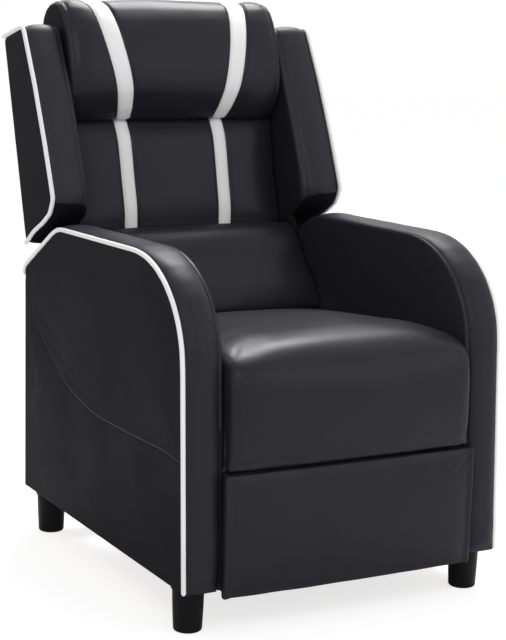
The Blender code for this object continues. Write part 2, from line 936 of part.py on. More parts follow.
# Angle brackets that carry the footrest board on its two links
def add_footrest_brackets(joint):
    origin = joint_place(joint)
    back = board_back_y() + touch - origin.x
    outer = plane_outer(rear_fold_layer)
    inner = plane_inner(rear_fold_layer)
    flange = outer - rail_flange
    tall = carrier_pitch + 4 * link_radius
    deep = back + plate_thickness
    far = carrier_upper.x + link_radius - origin.x
    middle_z = (carrier_upper.y + carrier_lower.y) / 2 - origin.y
    for word, side in sides():
        corners = [(outer, back), (outer, far), (inner, far), (inner, deep), (flange, deep), (flange, back)]
        loop = [side_point(side * x, y) for x, y in corners]
        item = flat_curve(f"footrest_bracket_{word}", [loop], tall)
        item.location = (0.0, 0.0, middle_z)
        finish(item, "steel_plate", joint, smooth=False)
        item = as_mesh(item)
        middle = side * plane_middle(rear_fold_layer)
        reach = plate_thickness + 2 * overrun
        name = f"footrest_bracket_holes_{word}"
        join_cylinders(item, name, (carrier_upper, carrier_lower), middle, reach, hole_radius, "DIFFERENCE")


# Section of the footrest pad: place from front to back, place from the bottom to the top, freedom to swell
footrest_skin_shares = (
    (1.00, 0.00, 0.0),
    (0.50, 0.00, 0.1),
    (0.13, 0.00, 0.3),
    (0.00, 0.06, 1.0),
    (0.00, 0.50, 0.8),
    (0.00, 0.94, 1.0),
    (0.13, 1.00, 0.3),
    (0.50, 1.00, 0.1),
    (1.00, 1.00, 0.0),
    (1.00, 0.94, 0.0),
    (1.00, 0.50, 0.0),
    (1.00, 0.06, 0.0),
)


def add_footrest_pad(joint):
    back = board_back_y() - footrest_board_thickness - touch
    low_corner = side_point(back - footrest_front, footrest_bottom)
    ring = spread(footrest_skin_shares, low_corner, side_point(back, footrest_bottom + footrest_height))
    freedoms = freedoms_of(footrest_skin_shares)
    half = arm_inner + footrest_lap
    ahead = arm_front - slide_gap - joint_place(joint).x
    add_padding("footrest_pad", relative(joint, ring), freedoms, half, footrest_crown, joint, ahead)


# From here on a side point is given in the back's own frame: how far back, how far up
# The frame and its rear cover are narrower between the side plates than above them
def back_outline(low_half, high_half):
    step = bracket_top + board_edge
    return [
        side_point(-low_half, back_frame_bottom),
        side_point(low_half, back_frame_bottom),
        side_point(low_half, step),
        side_point(high_half, step),
        side_point(high_half, back_frame_top),
        side_point(-high_half, back_frame_top),
        side_point(-high_half, step),
        side_point(-low_half, step),
    ]


def add_back_frame(joint):
    low_half = plane_inner(rear_fold_layer) - touch
    outer = back_outline(low_half, back_half - touch)
    hole = low_half - back_frame_rail
    middle = back_frame_middle
    rail = back_frame_rail
    lower = rectangle(-hole, back_frame_bottom + rail, hole, middle - rail / 2)
    upper = rectangle(-hole, middle + rail / 2, hole, back_frame_top - rail)
    item = flat_curve("back_frame", [outer, lower, upper], back_frame_thickness)
    item.location = (0.0, back_frame_front + back_frame_thickness / 2, 0.0)
    item.rotation_euler = (math.pi / 2, 0.0, 0.0)
    finish(item, "plywood", joint, smooth=False)


def add_back_brackets(joint):
    centre = side_point(0.0, 0.0)
    rear = back_frame_front + back_frame_thickness / 2
    foot = side_point(rear, 0.0)
    top = side_point(rear, bracket_foot)
    outline = rounded_outline([centre, foot, top], plate_radius)
    for word, side in sides():
        loops = [outline, circle_points(centre, hole_radius, hole_sides)]
        item = flat_curve(f"back_bracket_{word}", loops, plate_thickness)
        item.location = (side * plane_middle(rear_fold_layer), 0.0, 0.0)
        item.rotation_euler = (math.pi / 2, 0.0, math.pi / 2)
        finish(item, "steel_plate", joint, smooth=False)


def add_back_cover(joint):
    outline = back_outline(plane_inner(rear_fold_layer) - touch, back_half - touch)
    item = flat_curve("back_cover", [outline], cover_thickness)
    item.location = (0.0, back_rear - cover_thickness / 2, 0.0)
    item.rotation_euler = (math.pi / 2, 0.0, 0.0)
    finish(item, "rear_fabric", joint, smooth=False)


def back_pad_half():
    return back_half - slide_gap / 2


# Sections of the back's padding: place from the front to the frame, place from the bottom to the top,
# freedom to swell
panel_skin_shares = (
    (1.00, 0.000, 0.0),
    (1.00, 0.500, 0.0),
    (1.00, 1.000, 0.0),
    (0.40, 1.000, 0.0),
    (0.00, 0.940, 0.6),
    (0.00, 0.700, 1.0),
    (0.00, 0.300, 1.0),
    (0.00, 0.060, 0.6),
    (0.40, 0.000, 0.0),
)

# The lumbar roll's underside is level, a little above the seat
lumbar_skin_shares = (
    (1.000, 0.262, 0.0),
    (1.000, 0.600, 0.0),
    (1.000, 1.000, 0.0),
    (0.707, 1.000, 0.2),
    (0.512, 0.960, 0.6),
    (0.384, 0.800, 1.0),
    (0.282, 0.550, 1.0),
    (0.128, 0.280, 1.0),
    (0.015, 0.100, 0.8),
    (0.000, 0.040, 0.3),
    (0.077, 0.020, 0.0),
    (0.512, 0.134, 0.0),
)

# Skin of the headrest bolster, from its rear over the top and down its front
bolster_skin_shares = (
    (1.000, 0.84, 0.3),
    (0.780, 1.00, 0.5),
    (0.360, 1.00, 0.5),
    (0.100, 0.90, 0.8),
    (0.000, 0.66, 1.0),
    (0.000, 0.36, 1.0),
    (0.113, 0.12, 0.8),
    (0.393, 0.00, 0.3),
)
bolster_face_shares = (0.0, 0.6)


def add_back_panel(joint):
    low_corner = side_point(panel_front, lumbar_seam + seam_gap)
    high_corner = side_point(back_frame_front - touch, bolster_seam - seam_gap)
    ring = spread(panel_skin_shares, low_corner, high_corner)
    add_padding("back_panel", ring, freedoms_of(panel_skin_shares), back_pad_half(), panel_crown, joint)


def add_lumbar_roll(joint):
    low_corner = side_point(-lumbar_reach, lumbar_bottom)
    high_corner = side_point(back_frame_front - touch, lumbar_seam - seam_gap)
    ring = spread(lumbar_skin_shares, low_corner, high_corner)
    add_padding("lumbar_roll", ring, freedoms_of(lumbar_skin_shares), back_pad_half(), band_crown, joint)


# The headrest bolster hooks over the top of the back frame
def add_bolster(joint):
    face = back_frame_front - touch
    over = back_frame_top + touch
    low = bolster_seam + seam_gap
    near_top = over - corner_support
    points = [side_point(face, low + share * (near_top - low)) for share in bolster_face_shares]
    points += [
        side_point(face, near_top),
        side_point(face, over),
        side_point(face + corner_support, over),
        side_point(back_rear - corner_support, over),
        side_point(back_rear, over + corner_support),
    ]
    fixed = [0.0] * len(points)
    low_corner = side_point(-bolster_reach, low)
    points += spread(bolster_skin_shares, low_corner, side_point(back_rear, bolster_top))
    freedoms = fixed + freedoms_of(bolster_skin_shares)
    add_padding("headrest_bolster", points, freedoms, back_pad_half(), band_crown / 2, joint)


# Outline of a wing: place between the rear and the front, place between the bottom and the top,
# freedom to swell. Its lower edge stays flat, to pass over the arms.
wing_outline_shares = (
    (0.00, 0.000, 0.0),
    (0.34, 0.041, 0.0),
    (0.62, 0.058, 0.0),
    (0.86, 0.085, 0.2),
    (1.00, 0.142, 1.0),
    (0.985, 0.215, 1.0),
    (0.93, 0.410, 1.0),
    (0.82, 0.695, 1.0),
    (0.71, 0.895, 1.0),
    (0.67, 0.965, 1.0),
    (0.615, 0.985, 1.0),
    (0.30, 0.994, 1.0),
    (0.00, 1.000, 0.0),
)
slant_start_share = 0.34
wing_shares = (0.0, 0.10, 0.35, 0.65, 0.90, 1.0)


def wing_edge(inset, slant):
    depth = back_rear + wing_front
    tall = wing_top - wing_bottom
    points = []
    for forward, up, free in wing_outline_shares:
        back = back_rear - depth * forward + slant * max(0.0, forward - slant_start_share)
        points.append(side_point(back, wing_bottom + tall * up))
    return swell_ring(points, [-inset] * len(points))


def add_wing(name, side, joint):
    inner = back_half
    outer = half_width - 2 * piping_radius - touch
    places = []
    rings = []
    for share in wing_shares:
        places.append(side * (inner + share * (outer - inner)))
        edge = wing_edge(0.0, wing_slant * (1 - share))
        fullness = wing_crown * crown_share(share)
        rings.append(swell_ring(edge, [fullness * free for free in freedoms_of(wing_outline_shares)]))
    places += [side * outer, side * (half_width - piping_radius / 2)]
    rings += [wing_edge(panel_inset, 0.0)] * 2
    add_loft(name, places, rings, "black_leather", joint)


def add_wing_piping(name, side, joint):
    place = side * (half_width - piping_radius)
    route = [(place, point.x, point.y) for point in wing_edge(piping_radius, 0.0)]
    add_tube(name, route, piping_radius, "white_piping", joint)


def add_wings(joint):
    for word, side in sides():
        add_wing(f"wing_{word}", side, joint)
        add_wing_piping(f"wing_piping_{word}", side, joint)


def add_base():
    add_arms()
    add_legs()
    add_stretchers()
    add_base_rails()
    add_shaft("swing_shaft_front", None, swing_front, rail_layer, True)
    add_shaft("swing_shaft_rear", None, swing_rear, rail_layer, True)


def add_seat(seat):
    add_side_plates(seat)
    add_seat_frame(seat)
    add_seat_webbing(seat)
    add_seat_cushion(seat)
    add_shaft("seat_shaft_front", seat, seat_front_pivot, swing_layer, True)
    add_shaft("seat_shaft_rear", seat, seat_rear_pivot, swing_layer, True)
    add_shaft("back_hinge_shaft", seat, back_hinge, side_plate_layer, True)
    add_shaft("fold_shaft_rear", seat, fold_rear, side_plate_layer, True)


def add_linkage(seat):
    rear = add_joint("fold_rear_pivot", fold_rear, seat)
    joints = {
        "rear": rear,
        "front": add_joint("fold_front_pivot", fold_front, seat),
        "upper": add_joint("carrier_upper_pivot", cross_rear, rear),
        "lower": add_joint("carrier_lower_pivot", cross_lower, rear),
    }
    add_fold_links(joints)
    add_shaft("fold_shaft_lower", rear, cross_lower, rear_fold_layer, False)
    footrest = add_joint("footrest_pivot", carrier_upper, joints["upper"])
    add_footrest_board(footrest)
    add_footrest_brackets(footrest)
    add_footrest_pad(footrest)
    add_shaft("footrest_shaft_upper", footrest, carrier_upper, side_plate_layer, True)
    add_shaft("footrest_shaft_lower", footrest, carrier_lower, rear_fold_layer, False)


def add_back(seat):
    back = add_joint("back_pivot", back_hinge, seat, -back_lean)
    add_back_frame(back)
    add_back_brackets(back)
    add_back_cover(back)
    add_back_panel(back)
    add_lumbar_roll(back)
    add_bolster(back)
    add_wings(back)


def main():
    clear_scene()
    groups["parts"] = add_collection("recliner")
    groups["cutters"] = add_collection("cutters")
    add_looks()
    add_base()
    swing_front_joint = add_joint("swing_front_pivot", swing_front)
    swing_rear_joint = add_joint("swing_rear_pivot", swing_rear)
    add_swing_links(swing_front_joint, swing_rear_joint)
    add_cross_tube(swing_front_joint)
    seat = add_joint("seat_pivot", seat_front_pivot, swing_front_joint)
    add_seat(seat)
    add_linkage(seat)
    add_back(seat)


main()
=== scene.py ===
import math

import bmesh
import bpy
import numpy as np
from mathutils import Matrix, Vector, geometry, noise
from mathutils.bvhtree import BVHTree


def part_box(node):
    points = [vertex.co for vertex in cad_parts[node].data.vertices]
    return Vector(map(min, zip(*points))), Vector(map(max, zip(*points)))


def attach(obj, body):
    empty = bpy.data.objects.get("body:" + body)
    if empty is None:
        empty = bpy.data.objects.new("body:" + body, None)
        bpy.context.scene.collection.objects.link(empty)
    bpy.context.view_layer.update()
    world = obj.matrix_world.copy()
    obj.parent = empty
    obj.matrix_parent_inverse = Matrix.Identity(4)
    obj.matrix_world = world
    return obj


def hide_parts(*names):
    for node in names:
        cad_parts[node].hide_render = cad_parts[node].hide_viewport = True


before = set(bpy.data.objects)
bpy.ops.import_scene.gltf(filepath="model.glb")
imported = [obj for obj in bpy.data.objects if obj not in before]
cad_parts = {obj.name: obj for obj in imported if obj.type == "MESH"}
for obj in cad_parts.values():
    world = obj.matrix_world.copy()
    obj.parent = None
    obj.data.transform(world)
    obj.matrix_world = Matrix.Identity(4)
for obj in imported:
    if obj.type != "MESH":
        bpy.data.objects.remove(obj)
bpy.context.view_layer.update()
print("frame loaded:", len(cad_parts), "nodes")

# the chair as measured: metres, +Z up, front towards -Y
chair = {
    "armInner": 0.2350,
    "armBottom": 0.0780,
    "sideFace": 0.3072,
    "pipingEnd": 0.492,
    "hinge": (0.134, 0.330),
    "backLean": math.radians(17),
}


# small helpers

def smoothStep(value):
    value = np.clip(value, 0.0, 1.0)
    return value * value * (3 - 2 * value)


# 0 at start, eased to 1 over a length; a negative length looks the other way
def ramp(value, start, length):
    return smoothStep((value - start) / length)


def bell(value, middle, width):
    return np.exp(-(((value - middle) / width) ** 2))


def lengthsOf(points):
    steps = np.linalg.norm(np.diff(points, axis=0), axis=1)
    return np.concatenate([[0.0], np.cumsum(steps)])


def resampled(points, count):
    points = np.asarray(points, float)
    along = lengthsOf(points)
    wanted = np.linspace(0.0, along[-1], count)
    return np.stack([np.interp(wanted, along, column) for column in points.T], axis=1)


def softened(points, rounds):
    points = np.asarray(points, float).copy()
    for _ in range(rounds):
        points[1:-1] = 0.25 * points[:-2] + 0.5 * points[1:-1] + 0.25 * points[2:]
    return points


# outward normals of a line in the side view that runs over the top from front to rear
def sideNormals(points):
    ahead = np.gradient(points, axis=0)
    ahead /= np.linalg.norm(ahead, axis=1)[:, None] + 1e-12
    return np.stack([-ahead[:, 1], ahead[:, 0]], axis=1)


def waviness(points, size, seed):
    return np.array([noise.noise(Vector(p) / size + Vector((seed, 0, 0))) for p in points])


# side view of the back's own frame: how far behind the hinge line, how far up it
def backPlace(points):
    behind, above = points[:, 1] - chair["hinge"][0], points[:, 2] - chair["hinge"][1]
    lean = chair["backLean"]
    return behind * math.cos(lean) - above * math.sin(lean), behind * math.sin(lean) + above * math.cos(lean)


def backToWorld(x, depth, up):
    lean, (hingeY, hingeZ) = chair["backLean"], chair["hinge"]
    y = hingeY + depth * math.cos(lean) + up * math.sin(lean)
    z = hingeZ - depth * math.sin(lean) + up * math.cos(lean)
    return np.stack(np.broadcast_arrays(x, y, z), axis=-1)


backOut = np.array([0.0, -math.cos(chair["backLean"]), math.sin(chair["backLean"])])
backUp = np.array([0.0, math.sin(chair["backLean"]), math.cos(chair["backLean"])])


def linked(name, data):
    piece = bpy.data.objects.new(name, data)
    bpy.context.scene.collection.objects.link(piece)
    return piece


def cleaned(mesh, distance):
    bm = bmesh.new()
    bm.from_mesh(mesh)
    bmesh.ops.remove_doubles(bm, verts=bm.verts[:], dist=distance)
    bmesh.ops.recalc_face_normals(bm, faces=bm.faces[:])
    bm.to_mesh(mesh)
    bm.free()


def meshPiece(name, points, faces, material, smooth=True):
    mesh = bpy.data.meshes.new(name)
    mesh.from_pydata([tuple(p) for p in points], [], faces)
    mesh.validate()
    cleaned(mesh, 1e-5)
    mesh.polygons.foreach_set("use_smooth", [smooth] * len(mesh.polygons))
    mesh.materials.append(material)
    return linked(name, mesh)


# the modifiers' result as the piece's own mesh
def plainMesh(piece):
    bpy.context.view_layer.update()
    graph = bpy.context.evaluated_depsgraph_get()
    mesh = bpy.data.meshes.new_from_object(piece.evaluated_get(graph))
    piece.modifiers.clear()
    piece.data = mesh
    return piece


# a wall behind an open sheet, whose faces are first turned towards the outward direction
def walled(piece, thickness, outward=None, offset=-1):
    if outward is not None:
        total = sum((face.normal * face.area for face in piece.data.polygons), Vector())
        if total.dot(Vector(outward)) < 0:
            piece.data.flip_normals()
    wall = piece.modifiers.new("wall", "SOLIDIFY")
    wall.thickness, wall.offset = thickness, offset
    return plainMesh(piece)


def valuesOf(piece, what="co"):
    flat = np.empty(len(piece.data.vertices) * 3)
    piece.data.vertices.foreach_get(what, flat)
    return flat.reshape(-1, 3)


def setCoordinates(piece, points):
    piece.data.vertices.foreach_set("co", np.asarray(points, float).ravel())
    piece.data.update()


def setWithin(piece, points, half):
    points[:, 0] = np.clip(points[:, 0], -half, half)
    setCoordinates(piece, points)


# quads over rows of points; wrapped closes each row to a ring, capped closes the first and last ring
def gridFaces(rows, columns, wrapped=False, capped=False):
    faces = []
    for row in range(rows - 1):
        for column in range(columns if wrapped else columns - 1):
            a, b = row * columns + column, row * columns + (column + 1) % columns
            faces.append((a, b, b + columns, a + columns))
    if capped:
        faces += [tuple(range(columns))[::-1], tuple((rows - 1) * columns + c for c in range(columns))]
    return faces


def paint(piece, materials, choose):
    for material in materials:
        piece.data.materials.append(material)
    for face in piece.data.polygons:
        face.material_index = int(choose(face))


def finishPiece(piece, body, replaced=()):
    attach(piece, body)
    if replaced:
        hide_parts(*replaced)
    return piece


# node trees

# a socket takes another socket's value or a plain one
def addNode(tree, kind, inputs=(), **settings):
    node = tree.nodes.new(kind)
    for label, value in settings.items():
        setattr(node, label, value)
    for label, value in dict(inputs).items():
        if isinstance(value, bpy.types.NodeSocket):
            tree.links.new(value, node.inputs[label])
        else:
            node.inputs[label].default_value = value
    return node


def mathNode(tree, operation, *values):
    return addNode(tree, "ShaderNodeMath", enumerate(values), operation=operation).outputs[0]


def noiseNode(tree, place, scale, detail=2.0, roughness=0.5, distortion=0.0):
    return addNode(tree, "ShaderNodeTexNoise", {
        "Vector": place, "Scale": scale, "Detail": detail, "Roughness": roughness, "Distortion": distortion,
    }).outputs["Fac"]


def mapRange(tree, value, fromLow, fromHigh, toLow=0.0, toHigh=1.0):
    return addNode(tree, "ShaderNodeMapRange", {
        "Value": value, "From Min": fromLow, "From Max": fromHigh, "To Min": toLow, "To Max": toHigh,
    }).outputs["Result"]


def combined(tree, **parts):
    return addNode(tree, "ShaderNodeCombineXYZ", parts).outputs[0]


def separated(tree, place):
    return addNode(tree, "ShaderNodeSeparateXYZ", {0: place}).outputs


def addSocket(tree, label, kind, direction="INPUT"):
    return tree.interface.new_socket(label, in_out=direction, socket_type="NodeSocket" + kind)


def putOut(tree, kind="Float", **values):
    for label in values:
        addSocket(tree, label, kind, "OUTPUT")
    sink = tree.nodes.new("NodeGroupOutput")
    for label, value in values.items():
        tree.links.new(value, sink.inputs[label])
    return tree


def newShaderGroup(name, inputs):
    group = bpy.data.node_groups.new(name, "ShaderNodeTree")
    for label, value in inputs.items():
        addSocket(group, label, "Float").default_value = value
    place = group.nodes.new("ShaderNodeTexCoord").outputs["Object"]
    return group, group.nodes.new("NodeGroupInput").outputs, place


# pebbled grain with fine creases, and broad unevenness, of imitation leather
def leatherGrainGroup():
    group, source, place = newShaderGroup("leatherGrain", {"Grain Scale": 900.0, "Crease Scale": 34.0})
    pebble = addNode(group, "ShaderNodeTexVoronoi", {
        "Smoothness": 0.4, "Vector": place, "Scale": source["Grain Scale"],
    }, feature="SMOOTH_F1").outputs["Distance"]
    crease = noiseNode(group, place, source["Crease Scale"], 4.0, 0.6, 1.6)
    crease = mapRange(group, mathNode(group, "ABSOLUTE", mathNode(group, "SUBTRACT", crease, 0.5)), 0.0, 0.06)
    crease = mathNode(group, "MULTIPLY", crease, 0.25)
    height = mathNode(group, "ADD", mathNode(group, "MULTIPLY", pebble, 0.35), crease)
    return putOut(group, Height=height, Uneven=noiseNode(group, place, 7.0, 3.0, 0.55))


# plain weave, over and under along two directions
def weaveGroup():
    group, source, place = newShaderGroup("clothWeave", {"Threads": 700.0})
    parts = separated(group, place)
    waves = [
        mathNode(group, "SINE", mathNode(group, "MULTIPLY", way, source["Threads"]))
        for way in (parts["X"], mathNode(group, "ADD", parts["Z"], parts["Y"]))
    ]
    uneven = noiseNode(group, place, 30.0, 4.0, 0.6)
    return putOut(group, Height=mathNode(group, "MULTIPLY", *waves), Uneven=uneven)


# streaks along X for boards
def woodGrainGroup():
    group, source, place = newShaderGroup("woodGrain", {"Streak Scale": 60.0})
    stretched = addNode(group, "ShaderNodeMapping", {"Scale": (0.06, 1.0, 1.0), "Vector": place}).outputs[0]
    streak = noiseNode(group, stretched, source["Streak Scale"], 5.0, 0.6, 0.8)
    return putOut(group, Streak=streak, Pore=noiseNode(group, stretched, 600.0))


# fine speckle and broad patches for coated and moulded surfaces
def surfaceWearGroup():
    group, source, place = newShaderGroup("surfaceWear", {"Speckle Scale": 1500.0})
    speckle = noiseNode(group, place, source["Speckle Scale"])
    return putOut(group, Speckle=speckle, Patch=noiseNode(group, place, 22.0, 4.0, 0.6))


# the two white stripes down the back; each edge has its place from the middle at the lumbar seam and
# at the bolster's seam, its spread over the bolster, and the power that bends that spread
stripe = {
    "lumbarSeamUp": 0.277,
    "bolsterSeamUp": 0.492,
    "bolsterTopUp": 0.725,
    "edges": [(0.0885, 0.0900, 0.0425, 1.0), (0.1155, 0.1180, 0.0520, 0.8)],
}


def stripeEdges(up):
    seam, top = stripe["bolsterSeamUp"], stripe["bolsterTopUp"]
    low = np.clip((up - stripe["lumbarSeamUp"]) / (seam - stripe["lumbarSeamUp"]), 0, 1)
    high = np.clip((up - seam) / (top - seam), 0, 1)
    return [
        foot + (head - foot) * low + spread * high ** power for foot, head, spread, power in stripe["edges"]
    ]


def stripeGroup():
    group, source, place = newShaderGroup("backStripes", {"Seam Width": 0.0016})
    parts, lean = separated(group, place), chair["backLean"]
    behind, above = (
        mathNode(group, "MULTIPLY", mathNode(group, "SUBTRACT", parts[axis], base), share)
        for axis, base, share in zip("YZ", chair["hinge"], (math.sin(lean), math.cos(lean)))
    )
    up = mathNode(group, "ADD", behind, above)
    low = mapRange(group, up, stripe["lumbarSeamUp"], stripe["bolsterSeamUp"])
    high = mapRange(group, up, stripe["bolsterSeamUp"], stripe["bolsterTopUp"])
    inner, outer = (
        mathNode(group, "MULTIPLY_ADD", mathNode(group, "POWER", high, power), spread,
                 mapRange(group, low, 0.0, 1.0, foot, head))
        for foot, head, spread, power in stripe["edges"]
    )
    side = mathNode(group, "ABSOLUTE", parts["X"])
    inside = mathNode(group, "MINIMUM", mathNode(group, "SUBTRACT", side, inner),
                      mathNode(group, "SUBTRACT", outer, side))
    near = mathNode(group, "DIVIDE", mathNode(group, "ABSOLUTE", inside), source["Seam Width"])
    mask, seam = mapRange(group, inside, -0.0003, 0.0003), mathNode(group, "MINIMUM", near, 1.0)
    return putOut(group, Mask=mask, Seam=seam)


leatherGrain = leatherGrainGroup()
clothWeave = weaveGroup()
woodGrain = woodGrainGroup()
surfaceWear = surfaceWearGroup()
backStripes = stripeGroup()


# materials

def newMaterial(name, colour, roughness, metallic=0.0, specular=0.5):
    material = bpy.data.materials.new(name)
    material.use_nodes = True
    sockets = material.node_tree.nodes["Principled BSDF"].inputs
    sockets["Base Color"].default_value = (*colour, 1.0)
    sockets["Roughness"].default_value = roughness
    sockets["Metallic"].default_value = metallic
    sockets["Specular IOR Level"].default_value = specular
    return material, material.node_tree, sockets


def placeGroup(tree, group, **values):
    values = {label.replace("_", " "): value for label, value in values.items()}
    return addNode(tree, "ShaderNodeGroup", values, node_tree=group).outputs


def addBump(tree, sockets, height, distance, under=None):
    inputs = {"Distance": distance, "Height": height}
    if under is not None:
        inputs["Normal"] = under
    normal = addNode(tree, "ShaderNodeBump", inputs).outputs[0]
    tree.links.new(normal, sockets["Normal"])
    return normal


def mixColours(tree, factor, first, second, blend="MIX"):
    first, second = ((*value, 1.0) if isinstance(value, tuple) else value for value in (first, second))
    inputs = {"Factor": factor, "A": first, "B": second}
    return addNode(tree, "ShaderNodeMix", inputs, data_type="RGBA", blend_type=blend).outputs["Result"]


# each colour as a dark and a pale tone; inner is a lighter copy of black as painted light, side and under are
# darker copies as painted shade
leather = {
    "black": ((0.0140, 0.0132, 0.0180), (0.0180, 0.0170, 0.0225)),
    "inner": ((0.0210, 0.0198, 0.0258), (0.0250, 0.0238, 0.0305)),
    "side": ((0.0098, 0.0092, 0.0124), (0.0130, 0.0122, 0.0158)),
    "under": ((0.0085, 0.0080, 0.0108), (0.0110, 0.0103, 0.0136)),
    "white": ((0.80, 0.80, 0.81), (0.86, 0.86, 0.87)),
    "roughness": (0.33, 0.41),
    "creaseScale": 30.0,
    "grainHeight": 0.00010,
    "specular": 0.15,
    "sheenTint": (0.95, 0.93, 1.0),
    "grainScale": 1100.0,
    "seamDepth": 0.0008,
    "seamShadow": 0.25,
}


def leatherMaterial(name, colours, striped=False, **changes):
    own = {**leather, **changes}
    tones = leather[colours]
    material, tree, sockets = newMaterial(name, tones[0], own["roughness"][0], specular=own["specular"])
    sockets["Specular Tint"].default_value = (*leather["sheenTint"], 1.0)
    grain = placeGroup(tree, leatherGrain, Grain_Scale=leather["grainScale"], Crease_Scale=own["creaseScale"])
    colour = mixColours(tree, grain["Uneven"], *tones)
    normal = addBump(tree, sockets, grain["Height"], own["grainHeight"])
    if striped:
        bands = placeGroup(tree, backStripes)
        colour = mixColours(tree, bands["Mask"], colour, mixColours(tree, grain["Uneven"], *leather["white"]))
        shadow = mapRange(tree, bands["Seam"], 0.0, 0.7, leather["seamShadow"], 1.0)
        colour = mixColours(tree, 1.0, colour, shadow, "MULTIPLY")
        addBump(tree, sockets, bands["Seam"], leather["seamDepth"], normal)
    tree.links.new(colour, sockets["Base Color"])
    tree.links.new(mapRange(tree, grain["Uneven"], 0.3, 0.7, *own["roughness"]), sockets["Roughness"])
    return material


def fabricMaterial(name, dark, pale, threads):
    material, tree, sockets = newMaterial(name, dark, 0.85, specular=0.25)
    weave = placeGroup(tree, clothWeave, Threads=threads)
    tree.links.new(mixColours(tree, weave["Uneven"], dark, pale), sockets["Base Color"])
    addBump(tree, sockets, weave["Height"], 0.00015)
    return material


def woodMaterial():
    material, tree, sockets = newMaterial("boardWood", (0.5, 0.36, 0.22), 0.7, specular=0.35)
    wood = placeGroup(tree, woodGrain)
    colour = mixColours(tree, wood["Streak"], (0.34, 0.22, 0.12), (0.64, 0.48, 0.30))
    tree.links.new(colour, sockets["Base Color"])
    addBump(tree, sockets, wood["Pore"], 0.0002)
    return material


def coatedMaterial(name, dark, pale, roughness, metallic, speckle, height, specular=0.5):
    material, tree, sockets = newMaterial(name, dark, roughness[0], metallic, specular)
    wear = placeGroup(tree, surfaceWear, Speckle_Scale=speckle)
    tree.links.new(mixColours(tree, wear["Patch"], dark, pale), sockets["Base Color"])
    tree.links.new(mapRange(tree, wear["Patch"], 0.3, 0.7, *roughness), sockets["Roughness"])
    addBump(tree, sockets, wear["Speckle"], height)
    return material


blackLeather = leatherMaterial("blackLeather", "black")
# a darker, rougher copy of the black leather with little gloss: painted shade for side-facing faces
shadedSideLeather = leatherMaterial("shadedSideLeather", "side", roughness=(0.46, 0.58), creaseScale=22.0,
                              grainHeight=0.00022, specular=0.018)
# a darker copy of the black leather with no gloss: painted shade for undersides
shadedUnderLeather = leatherMaterial("shadedUnderLeather", "under", roughness=(0.7, 0.8), creaseScale=26.0, specular=0.0)
# a lighter copy of the black leather: painted light on the arms' inner panels
litInnerLeather = leatherMaterial("litInnerLeather", "inner")
armLeather = leatherMaterial("armLeather", "black", roughness=(0.45, 0.54), creaseScale=26.0, specular=0.16)
wingLeather = leatherMaterial("wingLeather", "black", roughness=(0.40, 0.48), creaseScale=26.0, specular=0.19)
stripedLeather = leatherMaterial("stripedLeather", "black", striped=True)
whitePiping = leatherMaterial("whitePiping", "white", roughness=(0.42, 0.52), grainHeight=0.00003)
blackThread = fabricMaterial("blackThread", (0.012, 0.012, 0.014), (0.03, 0.03, 0.033), 2500.0)
rearCloth = fabricMaterial("rearCloth", (0.014, 0.014, 0.015), (0.026, 0.026, 0.028), 2600.0)
strapWebbing = fabricMaterial("strapWebbing", (0.018, 0.018, 0.02), (0.05, 0.05, 0.055), 1500.0)
boardWood = woodMaterial()
coatedSteel = coatedMaterial("coatedSteel", (0.035, 0.035, 0.038), (0.055, 0.055, 0.06), (0.38, 0.5), 0.6,
                             1800.0, 0.00005)
zincSteel = coatedMaterial("zincSteel", (0.55, 0.55, 0.53), (0.68, 0.68, 0.66), (0.26, 0.4), 1.0,
                           2400.0, 0.00002)
legPlastic = coatedMaterial("legPlastic", (0.0045, 0.0045, 0.0055), (0.0075, 0.0075, 0.0085), (0.40, 0.48),
                            0.0, 2200.0, 0.00005, 0.10)
print("materials ready")


# padded pieces: the CAD form, remeshed and blown up like a stuffed cover

stuffing = {
    "frames": 20,
    "quality": 5,
    "mass": 0.3,
    "tension": 12.0,
    "shear": 5.0,
    "bending": 0.8,
    "pressure": 4.0,
    "calm": 0.7,
    "calmRounds": 24,
    "ease": 0.9,
    "easeRounds": 10,
    "followForm": (0.2, 0.8),
}


def copyOfNode(name, node):
    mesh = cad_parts[node].data.copy()
    mesh.materials.clear()
    cleaned(mesh, 2e-5)
    return linked(name, mesh)


def remeshed(piece, voxel):
    shape = BVHTree.FromObject(piece, bpy.context.evaluated_depsgraph_get())
    grid = piece.modifiers.new("even", "REMESH")
    grid.mode, grid.voxel_size, grid.use_smooth_shade = "VOXEL", voxel, True
    ease = piece.modifiers.new("ease", "SMOOTH")
    ease.factor, ease.iterations = 0.5, 3
    plainMesh(piece)
    points, (own, form) = valuesOf(piece), stuffing["followForm"]
    onShape = np.array([tuple(shape.find_nearest(Vector(p))[0]) for p in points])
    setCoordinates(piece, own * points + form * onShape)
    return piece


# the average of each point's neighbours, several times over
def calmed(piece, values, rounds):
    ends = np.empty(len(piece.data.edges) * 2, int)
    piece.data.edges.foreach_get("vertices", ends)
    a, b = ends[0::2], ends[1::2]
    count = np.bincount(ends, minlength=len(values)).astype(float)[:, None]
    for _ in range(rounds):
        total = np.stack([
            np.bincount(a, column[b], len(values)) + np.bincount(b, column[a], len(values))
            for column in values.T
        ], axis=1)
        values = 0.5 * values + 0.5 * total / count
    return values


